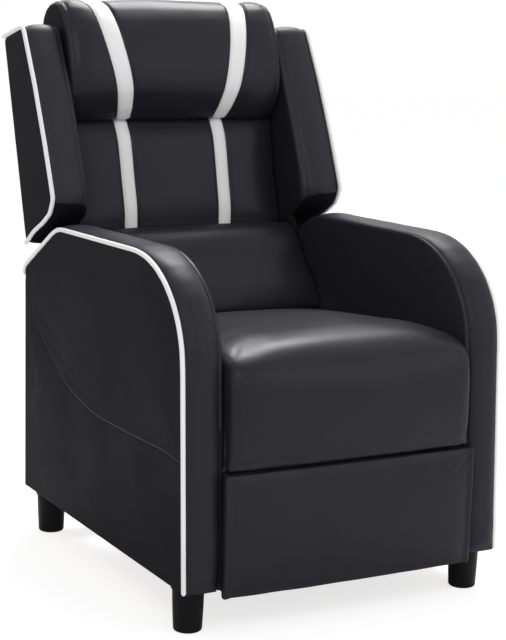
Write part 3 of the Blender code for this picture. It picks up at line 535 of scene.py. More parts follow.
def blownUp(piece, pinned):
    rest = valuesOf(piece)
    group = piece.vertex_groups.new(name="sewn")
    group.add([int(i) for i in np.nonzero(pinned)[0]], 1.0, "REPLACE")
    cover = piece.modifiers.new("stuffing", "CLOTH")
    cloth = cover.settings
    cloth.quality, cloth.mass = stuffing["quality"], stuffing["mass"]
    cloth.tension_stiffness = cloth.compression_stiffness = stuffing["tension"]
    cloth.shear_stiffness, cloth.bending_stiffness = stuffing["shear"], stuffing["bending"]
    cloth.use_pressure = True
    cloth.uniform_pressure_force = stuffing["pressure"]
    cloth.effector_weights.gravity = 0.0
    cloth.vertex_group_mass = "sewn"
    cover.collision_settings.use_collision = False
    cover.point_cache.frame_start, cover.point_cache.frame_end = 1, stuffing["frames"]
    for step in range(1, stuffing["frames"] + 1):
        bpy.context.scene.frame_set(step)
    moved = valuesOf(piece.evaluated_get(bpy.context.evaluated_depsgraph_get())) - rest
    piece.modifiers.remove(cover)
    piece.vertex_groups.clear()
    bpy.context.scene.frame_set(1)
    return rest, moved


def paddedFrom(name, node, settings, pins, freedom=lambda p: np.ones(len(p))):
    piece = remeshed(copyOfNode(name, node), settings["voxel"])
    rest = valuesOf(piece)
    rest -= valuesOf(piece, "normal") * (settings["shrink"] * ~pins(rest))[:, None]
    setCoordinates(piece, rest)
    rest, moved = blownUp(piece, pins(rest))
    size, cap = np.maximum(np.linalg.norm(moved, axis=1), 1e-9), settings["cap"]
    moved *= (cap * np.tanh(size / cap) / size)[:, None]
    calm = stuffing["calm"]
    moved = (1 - calm) * moved + calm * calmed(piece, moved, stuffing["calmRounds"])
    rest = rest + moved * freedom(rest)[:, None]
    ease = (stuffing["ease"] * ~pins(rest))[:, None]
    rounds = settings.get("easeRounds", stuffing["easeRounds"])
    rest = rest * (1 - ease) + calmed(piece, rest, rounds) * ease
    setCoordinates(piece, calmed(piece, rest, settings.get("rimRounds", 0)))
    finer = piece.modifiers.new("finer", "SUBSURF")
    finer.levels = finer.render_levels = 1
    return plainMesh(piece)


# soft creases pressed in along short lines, each with its start, end and strength
def creases(points, normals, lines, depth, width):
    for start, end, strength in lines:
        a, b = np.asarray(start, float), np.asarray(end, float)
        along = np.clip(((points - a) @ (b - a)) / ((b - a) @ (b - a)), 0, 1)
        away = np.linalg.norm(points - (a + along[:, None] * (b - a)), axis=1)
        fade = np.sin(math.pi * np.clip(along * 0.9 + 0.05, 0, 1)) ** 0.6
        shape = bell(away, 0, width) - 0.45 * bell(away, 2.2 * width, width)
        points -= normals * (depth * strength * fade * shape)[:, None]


def mirrored(lines):
    return [
        ((turn * a[0], *a[1:]), (turn * b[0], *b[1:]), strength)
        for turn in (-1, 1) for a, b, strength in lines
    ]


# here and below, a pair that ramp takes is its start and its length
seat = {
    "voxel": 0.0052,
    "shrink": 0.0015,
    "cap": 0.015,
    "easeRounds": 22,
    "half": 0.2343,
    "seamSide": 0.2312,
    "board": (-0.386, 0.352),
    "sewnHem": 0.293,
    "sewnRear": 0.100,
    "groove": (0.2275, 0.0022, 0.0007),
    "wave": 0.0005,
    "creaseDepth": 0.0015,
    "creaseWidth": 0.0050,
    "creases": [
        ((0.226, -0.415, 0.318), (0.182, -0.426, 0.352), 0.6),
        ((0.216, -0.412, 0.292), (0.165, -0.424, 0.312), 0.6),
        ((0.226, -0.420, 0.352), (0.205, -0.424, 0.405), 0.3),
        ((0.226, -0.395, 0.452), (0.190, -0.350, 0.480), 0.3),
    ],
    "drop": 0.0065,
    "apronBelow": (0.345, -0.05),
    "apronAhead": (-0.380, -0.004),
    "cornerDrop": 0.005,
    "cornerSide": (0.222, 0.012),
    "cornerRound": (0.214, 0.0205),
    "cornerBack": 0.007,
    "cornerAhead": (-0.395, -0.02),
    "cornerDown": 0.006,
    "cornerAbove": (0.43, 0.03),
    "apronRear": -0.382,
    "lowest": 0.2774,
    "hem": 0.2812,
    "edgeSide": (0.200, 0.018),
    "edgeAbove": (0.288, 0.02),
    "edgeAhead": (-0.02, -0.1),
    "edgeRounds": 30,
    "rollMiddle": (-0.290, 0.375),
    "rollRadius": 0.088,
    "rollAngles": (-0.6, 2.5, 63),
    "rollWithin": 0.165,
    "rollSkin": 0.86,
    "level": 0.75,
    "levelFrom": (-0.15, 0.7),
    "levelTo": (2.40, -0.8),
    "levelSide": (0.222, -0.10),
}


# the roll over the seat's front runs straight across, with its crown only towards the sides
def levelled(points):
    middleY, middleZ = seat["rollMiddle"]
    ahead, above = middleY - points[:, 1], points[:, 2] - middleZ
    angle, radius, side = np.arctan2(above, ahead), np.hypot(ahead, above), np.abs(points[:, 0])
    edges = np.linspace(*seat["rollAngles"])
    outer = (side < seat["rollWithin"]) & (radius > seat["rollRadius"])
    total = np.histogram(angle[outer], edges, weights=radius[outer])[0]
    count = np.histogram(angle[outer], edges)[0]
    middle, full = (edges[1:] + edges[:-1]) / 2, count > 0
    mean = np.interp(middle, middle[full], total[full] / count[full])
    mean = np.convolve(np.pad(mean, 2, mode="edge"), np.ones(5) / 5, mode="valid")
    wanted = np.interp(angle, middle, mean)
    near = ramp(angle, *seat["levelFrom"]) * ramp(angle, *seat["levelTo"]) * ramp(side, *seat["levelSide"])
    share = seat["level"] * near * (radius > seat["rollSkin"] * wanted)
    scale = 1 + share * (wanted / np.maximum(radius, 1e-4) - 1)
    points[:, 1], points[:, 2] = middleY - ahead * scale, middleZ + above * scale
    return points


def makeSeatCushion():
    def pins(p):
        x, y, z = p.T
        under = (y > seat["board"][0]) & (z < seat["board"][1])
        return under | (z < seat["sewnHem"]) | (y > seat["sewnRear"]) | (np.abs(x) > seat["seamSide"])

    def freedom(p):
        return (0.15 + 0.85 * (1 - ramp(p[:, 1], 0.0, 0.07))) * ramp(p[:, 2], 0.286, 0.05)

    piece = paddedFrom("seatCushion", "seat_cushion", seat, pins, freedom)
    setCoordinates(piece, levelled(valuesOf(piece)))
    points, normals = valuesOf(piece), valuesOf(piece, "normal")
    x, y, z = points.T
    top = np.clip(ramp(normals[:, 2], -0.1, 0.6) + ramp(normals[:, 1], 0.0, -0.6), 0, 1)
    middle, width, depth = seat["groove"]
    points -= normals * (depth * (bell(np.abs(x), middle, width) * top))[:, None]
    points += normals * (seat["wave"] * waviness(points, 0.075, 3.0) * top)[:, None]
    creases(points, normals, mirrored(seat["creases"]), seat["creaseDepth"], seat["creaseWidth"])
    side = np.abs(x)
    apron = ramp(z, *seat["apronBelow"]) * ramp(y, *seat["apronAhead"])
    z -= (seat["drop"] + seat["cornerDrop"] * ramp(side, *seat["cornerSide"])) * apron
    start, length = seat["cornerRound"]
    rounded = 1 - np.sqrt(np.clip(1 - np.clip((side - start) / length, 0, 1) ** 2, 0, 1))
    y += seat["cornerBack"] * rounded * ramp(y, *seat["cornerAhead"])
    z -= seat["cornerDown"] * rounded * ramp(z, *seat["cornerAbove"])
    z[:] = np.where(y < seat["apronRear"], np.maximum(z, seat["lowest"]), z)
    edge = ramp(side, *seat["edgeSide"]) * ramp(z, *seat["edgeAbove"]) * ramp(y, *seat["edgeAhead"])
    points += (calmed(piece, points, seat["edgeRounds"]) - points) * edge[:, None]
    setWithin(piece, points, seat["half"])
    # faces below the hem take the darker under copy: painted shade under the seat's front
    paint(piece, [blackLeather, shadedUnderLeather], lambda face: face.center.z < seat["hem"])
    return finishPiece(piece, "seat", ["seat_cushion"])


# a closed plate whose rings run from the middle of one side, over the edge, to the middle of the other
def plate(name, outline, sides, shares, place, material, smooth=True):
    rings = [(sides[0], share) for share in shares[::-1]] + [(sides[1], share) for share in shares]
    centre = outline.mean(axis=0)
    points = [place(side, *(centre + (spot - centre) * share)) for side, share in rings for spot in outline]
    return meshPiece(name, points, gridFaces(len(rings), len(outline), True, True), material, smooth)


seatReturn = {
    "sides": (0.2338, 0.2350),
    "outline": [
        (-0.3925, 0.300), (-0.3925, 0.3515), (-0.345, 0.3515), (-0.345, 0.292), (-0.365, 0.2785),
        (-0.3925, 0.2785), (-0.3925, 0.300),
    ],
}


# the seat cover's return behind the front's corner, beside the seat frame
def makeSeatReturn(word, turn):
    outline = softened(resampled(seatReturn["outline"], 90), 3)[:-1]
    piece = plate(f"seatReturn_{word}", outline, seatReturn["sides"], (1.0,),
                  lambda side, y, z: (turn * side, y, z), blackLeather, False)
    return finishPiece(piece, "seat")


footrest = {
    "voxel": 0.0048,
    "shrink": 0.0012,
    "cap": 0.012,
    "half": 0.2428,
    "sewnBehind": -0.399,
    "sewnRim": (0.069, 0.262, 0.239),
    "wave": 0.0009,
    "creases": [
        ((0.240, -0.412, 0.262), (0.205, -0.424, 0.228), 0.6),
        ((0.241, -0.414, 0.085), (0.212, -0.424, 0.104), 0.4),
    ],
    "creaseDepth": 0.0014,
    "creaseWidth": 0.005,
    "free": (-0.396, -0.012),
    "upper": (0.20, 0.055),
    "lower": (0.10, -0.03),
    "rise": 0.0100,
    "cornerSide": (0.226, 0.014),
    "cornerRise": 0.0025,
    "cornerFall": 0.0015,
    "cornerOut": 0.004,
    "low": 0.0648,
    "top": 0.2758,
    "topRound": 0.0016,
}


def makeFootrestPad():
    low, high, wide = footrest["sewnRim"]

    def pins(p):
        x, y, z = p.T
        return (y > footrest["sewnBehind"]) | (z < low) | (z > high) | (np.abs(x) > wide)

    piece = paddedFrom("footrestPad", "footrest_pad", footrest, pins,
                       lambda p: ramp(p[:, 1], *footrest["free"]))
    points, normals = valuesOf(piece), valuesOf(piece, "normal")
    x, y, z = points.T
    front = ramp(normals[:, 1], 0.0, -0.5)
    points += normals * (footrest["wave"] * waviness(points, 0.06, 9.0) * front)[:, None]
    creases(points, normals, mirrored(footrest["creases"]), footrest["creaseDepth"], footrest["creaseWidth"])
    corner, upper = ramp(np.abs(x), *footrest["cornerSide"]), ramp(z, *footrest["upper"])
    z += footrest["rise"] * upper
    lower = ramp(z, *footrest["lower"])
    z += corner * (footrest["cornerRise"] * upper - footrest["cornerFall"] * lower)
    y -= footrest["cornerOut"] * corner * front
    top, soft = footrest["top"], footrest["topRound"]
    z[:] = np.maximum(top - soft * np.logaddexp(0, (top - z) / soft), footrest["low"])
    setWithin(piece, points, footrest["half"])
    piece.data.materials.append(blackLeather)
    return finishPiece(piece, "footrest", ["footrest_pad"])


# the cover's rings from the front round the rear edge to the lip and back inside: inset, corner and place
wrap = {
    "half": 0.2335,
    "low": 0.0690,
    "high": 0.2735,
    "rings": [
        (0.0, 0.006, -0.3990), (0.0, 0.006, -0.3820), (0.0012, 0.006, -0.3808), (0.020, 0.002, -0.3808),
        (0.020, 0.002, -0.3818), (0.0014, 0.0046, -0.3822), (0.0014, 0.0046, -0.3990), (0.0, 0.006, -0.3990),
    ],
}


# the footrest's cover drawn round its board, open behind but for a sewn lip
def makeFootrestWrap():
    points = []
    for inset, corner, y in wrap["rings"]:
        away = inset + corner
        half, low, high = wrap["half"] - away, wrap["low"] + away, wrap["high"] - away
        for number, (x, z) in enumerate([(half, high), (-half, high), (-half, low), (half, low)]):
            for angle in np.linspace(math.pi / 2 * number, math.pi / 2 * (number + 1), 6):
                points.append((x + corner * math.cos(angle), y, z + corner * math.sin(angle)))
    faces = gridFaces(len(wrap["rings"]), len(points) // len(wrap["rings"]), wrapped=True)
    return finishPiece(meshPiece("footrestWrap", points, faces, rearCloth, False), "footrest")


# puffed sections between the stripe seams, with each seam drawn in
def backSections(points, normals, puff, groove):
    side = np.abs(points[:, 0])
    inner, outer = stripeEdges(backPlace(points)[1])
    facing, width = ramp(normals @ backOut, -0.25, 0.5), backPads["seamWidth"]
    draw = bell(side, inner, width) + bell(side, outer, width)
    middle = np.where(side < inner, 1 - (side / inner) ** 2, 0)
    white = (side - inner) / (outer - inner)
    band = np.where((white > 0) & (white < 1), 1 - (2 * white - 1) ** 2, 0)
    rest = np.clip((side - outer) / (backPads["half"] - outer), 0, 1)
    flank = np.where(side > outer, 1 - (2 * rest - 1) ** 2, 0)
    lift = puff * (np.clip(middle, 0, 1) ** 0.8 + backPads["band"] * band + backPads["flank"] * flank)
    points += normals * (facing * (lift - groove * draw))[:, None]


# up the back, ramps start from a pad's own bottom or top
backPads = {
    "half": 0.226,
    "facing": (-0.2, 0.5),
    "freeAbove": (-0.001, 0.018),
    "freeBelow": (0.001, -0.018),
    "freeBehind": (0.055, 0.03),
    "freeAhead": (0.002, -0.02),
    "droopBelow": (0.035, -0.035),
    "droopBehind": (0.045, 0.02),
    "endDepth": 0.0015,
    "sewn": 0.006,
    "sewnSide": 0.008,
    "sewnBehind": 0.012,
    "groove": 0.0026,
    "seamWidth": 0.0034,
    "band": 0.45,
    "flank": 1.5,
    "panelTuck": 0.006,
    "panelTuckTop": (-0.016, 0.014),
    "panelTuckBottom": (0.014, -0.012),
    "panelForward": 0.0085,
    "panelUpper": (-0.150, 0.160),
    "bolsterTuck": 0.0045,
    "bolsterLow": (0.035, -0.03),
    "bolsterBehind": (0.03, 0.02),
    "bolsterBack": 0.0075,
    "bolsterHem": (0.045, -0.04),
    "bolsterSeam": (0.2150, 0.0022, 0.0011),
    "back_panel": {"voxel": 0.0048, "shrink": 0.0014, "cap": 0.010, "puff": 0.0032, "wave": 0.0008,
                   "fill": 0.6},
    "lumbar_roll": {"voxel": 0.0050, "shrink": 0.0014, "cap": 0.010, "droop": 0.017, "wave": 0.0012,
                    "fill": 0.7},
    "headrest_bolster": {
        "voxel": 0.0050, "shrink": 0.0012, "cap": 0.014, "puff": 0.0030, "wave": 0.0012, "fill": 0.75,
    },
}


def makeBackPad(name, node):
    settings, bolster, sewn = backPads[node], node == "headrest_bolster", backPads["sewn"]
    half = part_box(node)[1][0] + 0.0004
    depths, ups = backPlace(valuesOf(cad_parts[node]))
    frontMost, rearMost, bottom, top = depths.min(), depths.max(), ups.min(), ups.max()

    def pins(p):
        depth, up = backPlace(p)
        seams = up < bottom + sewn
        if not bolster:
            seams |= up > top - sewn
        seams &= depth > frontMost + backPads["sewnBehind"]
        return (np.abs(p[:, 0]) > half - backPads["sewnSide"]) | (depth > rearMost - sewn) | seams

    def freedom(p):
        depth, up = backPlace(p)
        low = ramp(up - bottom, *backPads["freeAbove"])
        if bolster:
            return ramp(depth - rearMost, *backPads["freeAhead"]) * low
        return (1 - ramp(depth, *backPads["freeBehind"])) * low * ramp(up - top, *backPads["freeBelow"])

    piece = paddedFrom(name, node, settings, pins, freedom)
    points, normals = valuesOf(piece), valuesOf(piece, "normal")
    facing = ramp(normals @ backOut, *backPads["facing"])
    points += normals * (settings["wave"] * waviness(points, 0.07, 21.0) * facing)[:, None]
    depth, up = backPlace(points)
    if node == "lumbar_roll":
        droop = ramp(up - bottom, *backPads["droopBelow"]) * (1 - ramp(depth, *backPads["droopBehind"]))
        points -= np.outer(droop * settings["droop"], backUp)
    else:
        backSections(points, normals, settings["puff"], backPads["groove"])
    if node == "back_panel":
        tuck = ramp(up - top, *backPads["panelTuckTop"]) - ramp(up - bottom, *backPads["panelTuckBottom"])
        points += np.outer(backPads["panelTuck"] * tuck, backUp)
        forward = backPads["panelForward"] * ramp(up - top, *backPads["panelUpper"])
        points += np.outer(forward * facing, backOut)
    if bolster:
        low = ramp(up - bottom, *backPads["bolsterLow"]) * (1 - ramp(depth, *backPads["bolsterBehind"]))
        points -= np.outer(backPads["bolsterTuck"] * low, backUp)
        back = backPads["bolsterBack"] * ramp(up - bottom, *backPads["bolsterHem"])
        points -= np.outer(back * facing, backOut)
        middle, width, groove = backPads["bolsterSeam"]
        points -= normals * (groove * bell(np.abs(points[:, 0]), middle, width))[:, None]
    setWithin(piece, points, half)
    # the end faces take the darker side copy: painted shade
    paint(piece, [blackLeather if node == "lumbar_roll" else stripedLeather, shadedSideLeather],
          lambda face: abs(face.center.x) > half - backPads["endDepth"])
    return finishPiece(piece, "back", [node])


seamFold = {
    "reach": 0.009, "sink": 0.0090, "rows": 9, "columns": 150, "half": 0.2262, "calm": 9, "wall": 0.0012,
}


# the cover's drawn-in fold that joins two of the back's pads
def makeSeamFold(name, up, pads, material):
    columns = np.linspace(-seamFold["half"], seamFold["half"], seamFold["columns"])
    edges = []
    for away in (-seamFold["reach"], seamFold["reach"]):
        raw = backToWorld(columns, 0.03, up + away)
        laid = [point or Vector(start) for point, start in zip(laidOn(pads, raw, -backOut, 0.12), raw)]
        edges.append(backPlace(np.array(laid))[0])
    depth, calm = np.maximum(*edges), seamFold["calm"]
    depth = np.convolve(np.pad(depth, calm // 2, mode="edge"), np.ones(calm) / calm, mode="valid")
    points = np.concatenate([
        backToWorld(columns, depth + seamFold["sink"] + 0.002 * share ** 2, up + share * seamFold["reach"])
        for share in np.linspace(-1, 1, seamFold["rows"])
    ])
    piece = meshPiece(name, points, gridFaces(seamFold["rows"], seamFold["columns"]), material)
    return finishPiece(walled(piece, seamFold["wall"], backOut), "back")


wing = {
    "voxel": 0.0048,
    "shrink": 0.0010,
    "cap": 0.008,
    "easeRounds": 34,
    "rimRounds": 4,
    "sewnOuter": 0.3035,
    "sewnInner": 0.2315,
    "sewnBehind": 0.022,
    "outerFace": 0.3045,
    "wave": 0.0008,
    "seamHeight": 0.612,
    "seamDepth": 0.0014,
    "uprightSide": 0.2385,
    "uprightDepth": 0.0011,
    "uprightAbove": (0.60, 0.02),
    "seamWidth": 0.0026,
    "lower": 0.0040,
    "underside": (-0.15, -0.4),
    "underPaint": -0.45,
    "outermost": 0.3082,
}


def makeWing(word, turn):
    node = f"wing_{word}"
    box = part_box(node)
    innermost = min(abs(box[0][0]), abs(box[1][0]))
    frontMost = backPlace(valuesOf(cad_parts[node]))[0].min()

    def pins(p):
        side = turn * p[:, 0]
        behind = backPlace(p)[0] > frontMost + wing["sewnBehind"]
        return (side > wing["sewnOuter"]) | ((side < wing["sewnInner"]) & behind)

    piece = paddedFrom(f"wingPad_{word}", node, wing, pins)
    points, normals = valuesOf(piece), valuesOf(piece, "normal")
    x, y, z = points.T
    front = ramp(normals @ backOut, 0.0, 0.5)
    points += normals * (wing["wave"] * waviness(points, 0.05, 31.0 + turn) * front)[:, None]
    seam = bell(z, wing["seamHeight"], wing["seamWidth"]) * front
    points -= normals * (wing["seamDepth"] * seam)[:, None]
    upright = bell(turn * x, wing["uprightSide"], wing["seamWidth"]) * front * ramp(z, *wing["uprightAbove"])
    points -= normals * (wing["uprightDepth"] * upright)[:, None]
    points -= np.outer(wing["lower"] * ramp(normals @ backUp, *wing["underside"]), backUp)
    x[:] = turn * np.clip(turn * x, innermost, wing["outermost"])
    z[:] = np.maximum(z, box[0][2])
    setCoordinates(piece, points)
    # the outer face and the undersides take the darker copies: painted shade
    paint(piece, [wingLeather, shadedSideLeather, shadedUnderLeather], lambda face: (
        1 if turn * face.center.x > wing["outerFace"]
        else 2 * (face.normal.dot(Vector(backUp)) < wing["underPaint"])
    ))
    return finishPiece(piece, "back", [node])


# arms

arm = {
    "step": 0.0035,
    "inner": 0.2436,
    "outer": 0.3034,
    "across": 26,
    "behind": 5,
    "crown": 0.0098,
    "topShare": 0.42,
    "frontFacing": (0.0, -0.85),
    "rearShare": 0.45,
    "rearFacing": (0.0, 0.5),
    "endLength": 0.03,
    "endShare": 0.25,
    "thickness": 0.0135,
    "tuck": 0.0012,
    "wave": 0.0011,
    "creases": [
        ((0.2436, -0.385, 0.470), (0.3034, -0.378, 0.505), 0.5),
        ((0.2436, -0.330, 0.560), (0.3034, -0.345, 0.545), 0.6),
        ((0.2436, -0.290, 0.592), (0.3034, -0.300, 0.586), 0.4),
        ((0.3034, -0.402, 0.100), (0.262, -0.410, 0.165), 0.8),
        ((0.2436, -0.402, 0.095), (0.280, -0.410, 0.130), 0.6),
    ],
    "creaseDepth": 0.0014,
    "creaseWidth": 0.006,
    "footDraw": 0.004,
    "footBelow": (0.155, -0.075),
}


# the arm's outline in the side view, from the front's foot over the top to the rear's foot
def armLine():
    points = valuesOf(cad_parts["arm_band_right"])
    flat = np.unique(points[points[:, 0] < points[:, 0].min() + 0.0002][:, 1:].round(6), axis=0)
    loop = flat[geometry.convex_hull_2d(flat.tolist())]
    loop = np.roll(loop, -int(np.argmin((loop[:, 0] - loop[:, 0].min()) * 3 + loop[:, 1])), axis=0)
    if loop[1, 1] < loop[0, 1] + 0.05:
        loop = np.concatenate([loop[:1], loop[1:][::-1]])
    return softened(resampled(loop, int(lengthsOf(loop)[-1] / arm["step"])), 14)


def insetLine(line, distance):
    return line - sideNormals(line) * distance


def clustered(count):
    return 0.5 - 0.5 * np.cos(np.linspace(0, math.pi, count))


def makeArmBand(word, turn, line):
    normals, along = sideNormals(line), lengthsOf(line)
    share = arm["topShare"] + (1 - arm["topShare"]) * ramp(normals[:, 0], *arm["frontFacing"])
    share = np.maximum(share, arm["rearShare"] * ramp(normals[:, 0], *arm["rearFacing"]))
    for way in (along, along[-1] - along):
        share *= smoothStep(way / arm["endLength"] + arm["endShare"])
    inner, outer, across = arm["inner"], arm["outer"], clustered(arm["across"])
    profile = 1 - np.abs(2 * across - 1) ** 2.6
    edge = arm["tuck"] * (bell(across, 0, 0.03) + bell(across, 1, 0.03))
    lift = (arm["crown"] * share)[:, None] * profile - edge
    places = line[:, None] + normals[:, None] * lift[:, :, None]
    skin = np.dstack([np.tile(inner + (outer - inner) * across, (len(line), 1)), places]).reshape(-1, 3)
    outward = np.repeat(np.column_stack([np.zeros(len(line)), normals]), arm["across"], axis=0)
    wave = arm["wave"] * waviness(skin, 0.055, 40 + turn) * np.tile(profile, len(line))
    skin += outward * wave[:, None]
    creases(skin, outward, arm["creases"], arm["creaseDepth"], arm["creaseWidth"])
    behind = np.repeat((line - normals * arm["thickness"])[:, None], arm["behind"], axis=1)
    lining = np.dstack([np.tile(np.linspace(outer, inner, arm["behind"]), (len(line), 1)), behind])
    points = np.concatenate([skin.reshape(len(line), -1, 3), lining], axis=1).reshape(-1, 3)
    x, y, z = points.T
    z[:] = np.maximum(z, chair["armBottom"])
    x += arm["footDraw"] * (ramp(z, *arm["footBelow"]) * (y < 0) * (outer - x) / (outer - inner))
    x *= turn
    faces = gridFaces(len(line), arm["across"] + arm["behind"], True, True)
    piece = meshPiece(f"armBandPad_{word}", points, faces, armLeather)
    return finishPiece(piece, "base", [f"arm_band_{word}"])


panel = {
    "samples": 230,
    "rimSamples": 330,
    "rows": 60,
    "inset": 0.0060,
    "roll": 0.0034,
    "rollDepth": 0.0015,
    "wave": 0.0009,
    "outer": {"puff": 0.0022, "wall": 0.0024},
    "inner": {"puff": 0.0006, "wall": 0.0070},
    "innerInset": 0.0008,
    "innerAway": 0.0010,
    "innerSamples": 360,
    "innerRows": 56,
    "footGap": 0.0004,
    "creaseDepth": 0.0006,
    "creaseWidth": 0.007,
    "seam": [
        (-0.3935, 0.2925), (-0.370, 0.296), (-0.320, 0.301), (-0.250, 0.2995), (-0.161, 0.297),
        (-0.061, 0.297), (-0.015, 0.299), (0.044, 0.310), (0.104, 0.324), (0.159, 0.352),
        (0.215, 0.386), (0.265, 0.427), (0.307, 0.494),
    ],
    "upperCreases": [
        ((0.262, 0.440), (0.120, 0.400), 0.9),
        ((0.205, 0.395), (0.040, 0.352), 0.8),
        ((0.285, 0.470), (0.205, 0.470), 0.6),
        ((0.120, 0.345), (-0.060, 0.325), 0.5),
    ],
    "lowerCreases": [
        ((0.235, 0.370), (0.275, 0.250), 0.5),
        ((-0.120, 0.285), (-0.290, 0.262), 0.5),
    ],
}


# a sheet ruled between two lines of the side view, its edges rolled in, thickened inwards
def ruledPanel(name, upper, lower, face, direction, material, rows, kind, creaseLines=()):
    share = clustered(rows)
    flat = lower[:, None] * (1 - share)[:, None] + upper[:, None] * share[:, None]
    flat = flat.reshape(-1, 2)
    ends = [resampled([upper[end], lower[end]], 150) for end in (0, -1)]
    rim = np.concatenate([resampled(upper, 900), resampled(lower, 900), *ends])
    nearest = np.concatenate([
        np.sqrt(((block[:, None] - rim) ** 2).sum(axis=2).min(axis=1))
        for block in np.array_split(flat, len(flat) // 2000 + 1)
    ])
    lift = -panel["rollDepth"] * (1 - smoothStep(nearest / panel["roll"])) ** 1.5
    lift += kind["puff"] * smoothStep(nearest / 0.09)
    points = np.column_stack([face + direction * lift, flat])
    outward = np.tile([direction, 0.0, 0.0], (len(points), 1))
    points[:, 0] += direction * panel["wave"] * waviness(points, 0.11, 55 + face) * smoothStep(nearest / 0.02)
    lines = [((face, *start), (face, *end), strength) for start, end, strength in creaseLines]
    creases(points, outward, lines, panel["creaseDepth"], panel["creaseWidth"])
    piece = meshPiece(name, points, gridFaces(len(upper), rows), material)
    return walled(piece, kind["wall"], (direction, 0, 0))


def makeArmPanels(word, turn, line):
    def inset(distance):
        edge = insetLine(line, distance)
        edge[:, 1] = np.maximum(edge[:, 1], chair["armBottom"] + panel["footGap"])
        return edge

    edge = inset(panel["inset"])
    seam = softened(resampled(panel["seam"], 160), 12)
    half = len(edge) // 2
    first = int(np.argmin(np.linalg.norm(edge - seam[0], axis=1)))
    last = half + int(np.argmin(np.linalg.norm(edge[half:] - seam[-1], axis=1)))
    seam[0], seam[-1] = edge[first], edge[last]
    middle = resampled(seam, panel["samples"])
    rim = resampled(np.concatenate([edge[:first + 1], middle[1:-1], edge[last:]]), panel["rimSamples"])
    foot = resampled([edge[0], edge[-1]], panel["rimSamples"])
    over = resampled(edge[first:last + 1], panel["samples"])
    face = turn * chair["sideFace"]
    # both side panels take the darker side copy: painted shade
    for name, upper, lower, lines in (
        ("sideUpper", over, middle, panel["upperCreases"]), ("sideLower", rim, foot, panel["lowerCreases"]),
    ):
        piece = ruledPanel(f"{name}_{word}", upper, lower, face, turn, shadedSideLeather, panel["rows"],
                           panel["outer"], lines)
        finishPiece(piece, "base", [f"arm_outer_panel_{word}"])
    makeSideWelt(word, turn)
    edge, count = inset(panel["innerInset"]), panel["innerSamples"]
    face = turn * (chair["armInner"] + panel["innerAway"])
    # the inner panel takes the lighter copy: painted light
    piece = ruledPanel(f"innerPanel_{word}", resampled(edge, count), resampled([edge[0], edge[-1]], count),
                       face, -turn, litInnerLeather, panel["innerRows"], panel["inner"])
    finishPiece(piece, "base", [f"arm_inner_panel_{word}"])


piping = {
    "radius": (0.0041, 0.0041), "middle": 0.3066, "inset": 0.0034, "sides": 14, "step": 0.003, "end": 0.55,
}
welt = {"radius": (0.0011, 0.0013), "middle": 0.3060, "sides": 8, "end": 1.0}


# a round cord along a line of the side view, its closed ends drawn in
def cordPiece(name, line, turn, cord, material):
    normals = sideNormals(line)
    taper = np.ones(len(line))
    taper[[0, -1]] = cord["end"]
    angles = np.linspace(0, 2 * math.pi, cord["sides"], endpoint=False)
    out, up = (
        radius * taper[:, None] * wave(angles) for radius, wave in zip(cord["radius"], (np.cos, np.sin))
    )
    places = line[:, None] + normals[:, None] * up[:, :, None]
    points = np.dstack([turn * (cord["middle"] + out), places]).reshape(-1, 3)
    return meshPiece(name, points, gridFaces(len(line), cord["sides"], True, True), material)


# a thin folded edge along the side's curved seam
def makeSideWelt(word, turn):
    line = softened(resampled(panel["seam"], 160), 12)[1:-1]
    finishPiece(cordPiece(f"sideWelt_{word}", line, turn, welt, blackLeather), "base")


# the middle of a CAD piping: its innermost points in the side view, put in order
def pipingLine(node):
    points = valuesOf(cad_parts[node])
    inmost = points[np.abs(points[:, 0]) < np.abs(points[:, 0]).min() + 0.0001]
    left = [np.array(p) for p in sorted({(round(p[1], 5), round(p[2], 5)) for p in inmost})]
    chains = []
    for first in range(len(left)):
        rest = left[:first] + left[first + 1:]
        chain, length = [left[first]], 0.0
        while rest:
            gaps = [np.linalg.norm(chain[-1] - p) for p in rest]
            nearest = int(np.argmin(gaps))
            length += gaps[nearest]
            chain.append(rest.pop(nearest))
        chains.append((length, first, chain))
    return np.array(min(chains)[2])


def makePiping(kind, word, turn, body, line):
    node = f"{kind}_piping_{word}"
    line = softened(resampled(line, int(lengthsOf(line)[-1] / piping["step"])), 6)
    piece = cordPiece(f"{kind}Piping_{word}", line, turn, piping, whitePiping)
    finishPiece(piece, body, [node])


gusset = {
    "sides": (0.2292, 0.2322),
    "corners": [
        (0.003, 0.150), (0.080, 0.140), (0.080, 0.300), (0.022, 0.300), (-0.003, 0.272), (0.003, 0.150),
    ],
}


# side walls of the back's cover, between the lumbar roll's ends and the wings
def makeBackGusset(word, turn):
    ring = softened(resampled(gusset["corners"], 96), 4)[:-1]
    # the gusset takes the darker side copy: painted shade
    piece = plate(f"backGusset_{word}", ring, gusset["sides"], (1.0, 0.6, 0.25),
                  lambda side, depth, up: backToWorld(turn * side, depth, up), shadedSideLeather)
    finishPiece(piece, "back")


# a cloth flap behind the seat's rear edge, sewn under the lumbar roll
flap = {
    "half": 0.2190, "wall": 0.0012, "line": [(0.030, 0.112), (0.034, 0.085), (0.046, 0.055), (0.064, 0.035)],
}


def makeLumbarFlap():
    line = softened(resampled(flap["line"], 24), 6)
    columns = np.linspace(-flap["half"], flap["half"], 80)
    points = np.concatenate([backToWorld(columns, depth, up) for depth, up in line])
    piece = meshPiece("lumbarFlap", points, gridFaces(len(line), len(columns)), rearCloth)
    finishPiece(walled(piece, flap["wall"], backOut), "back")


# legs, cover and webbing

leg = {
    "top": 0.0268, "foot": 0.0243, "height": 0.0776, "edge": 0.0045, "plate": 0.0292, "collar": 0.0065,
    "segments": 56,
}


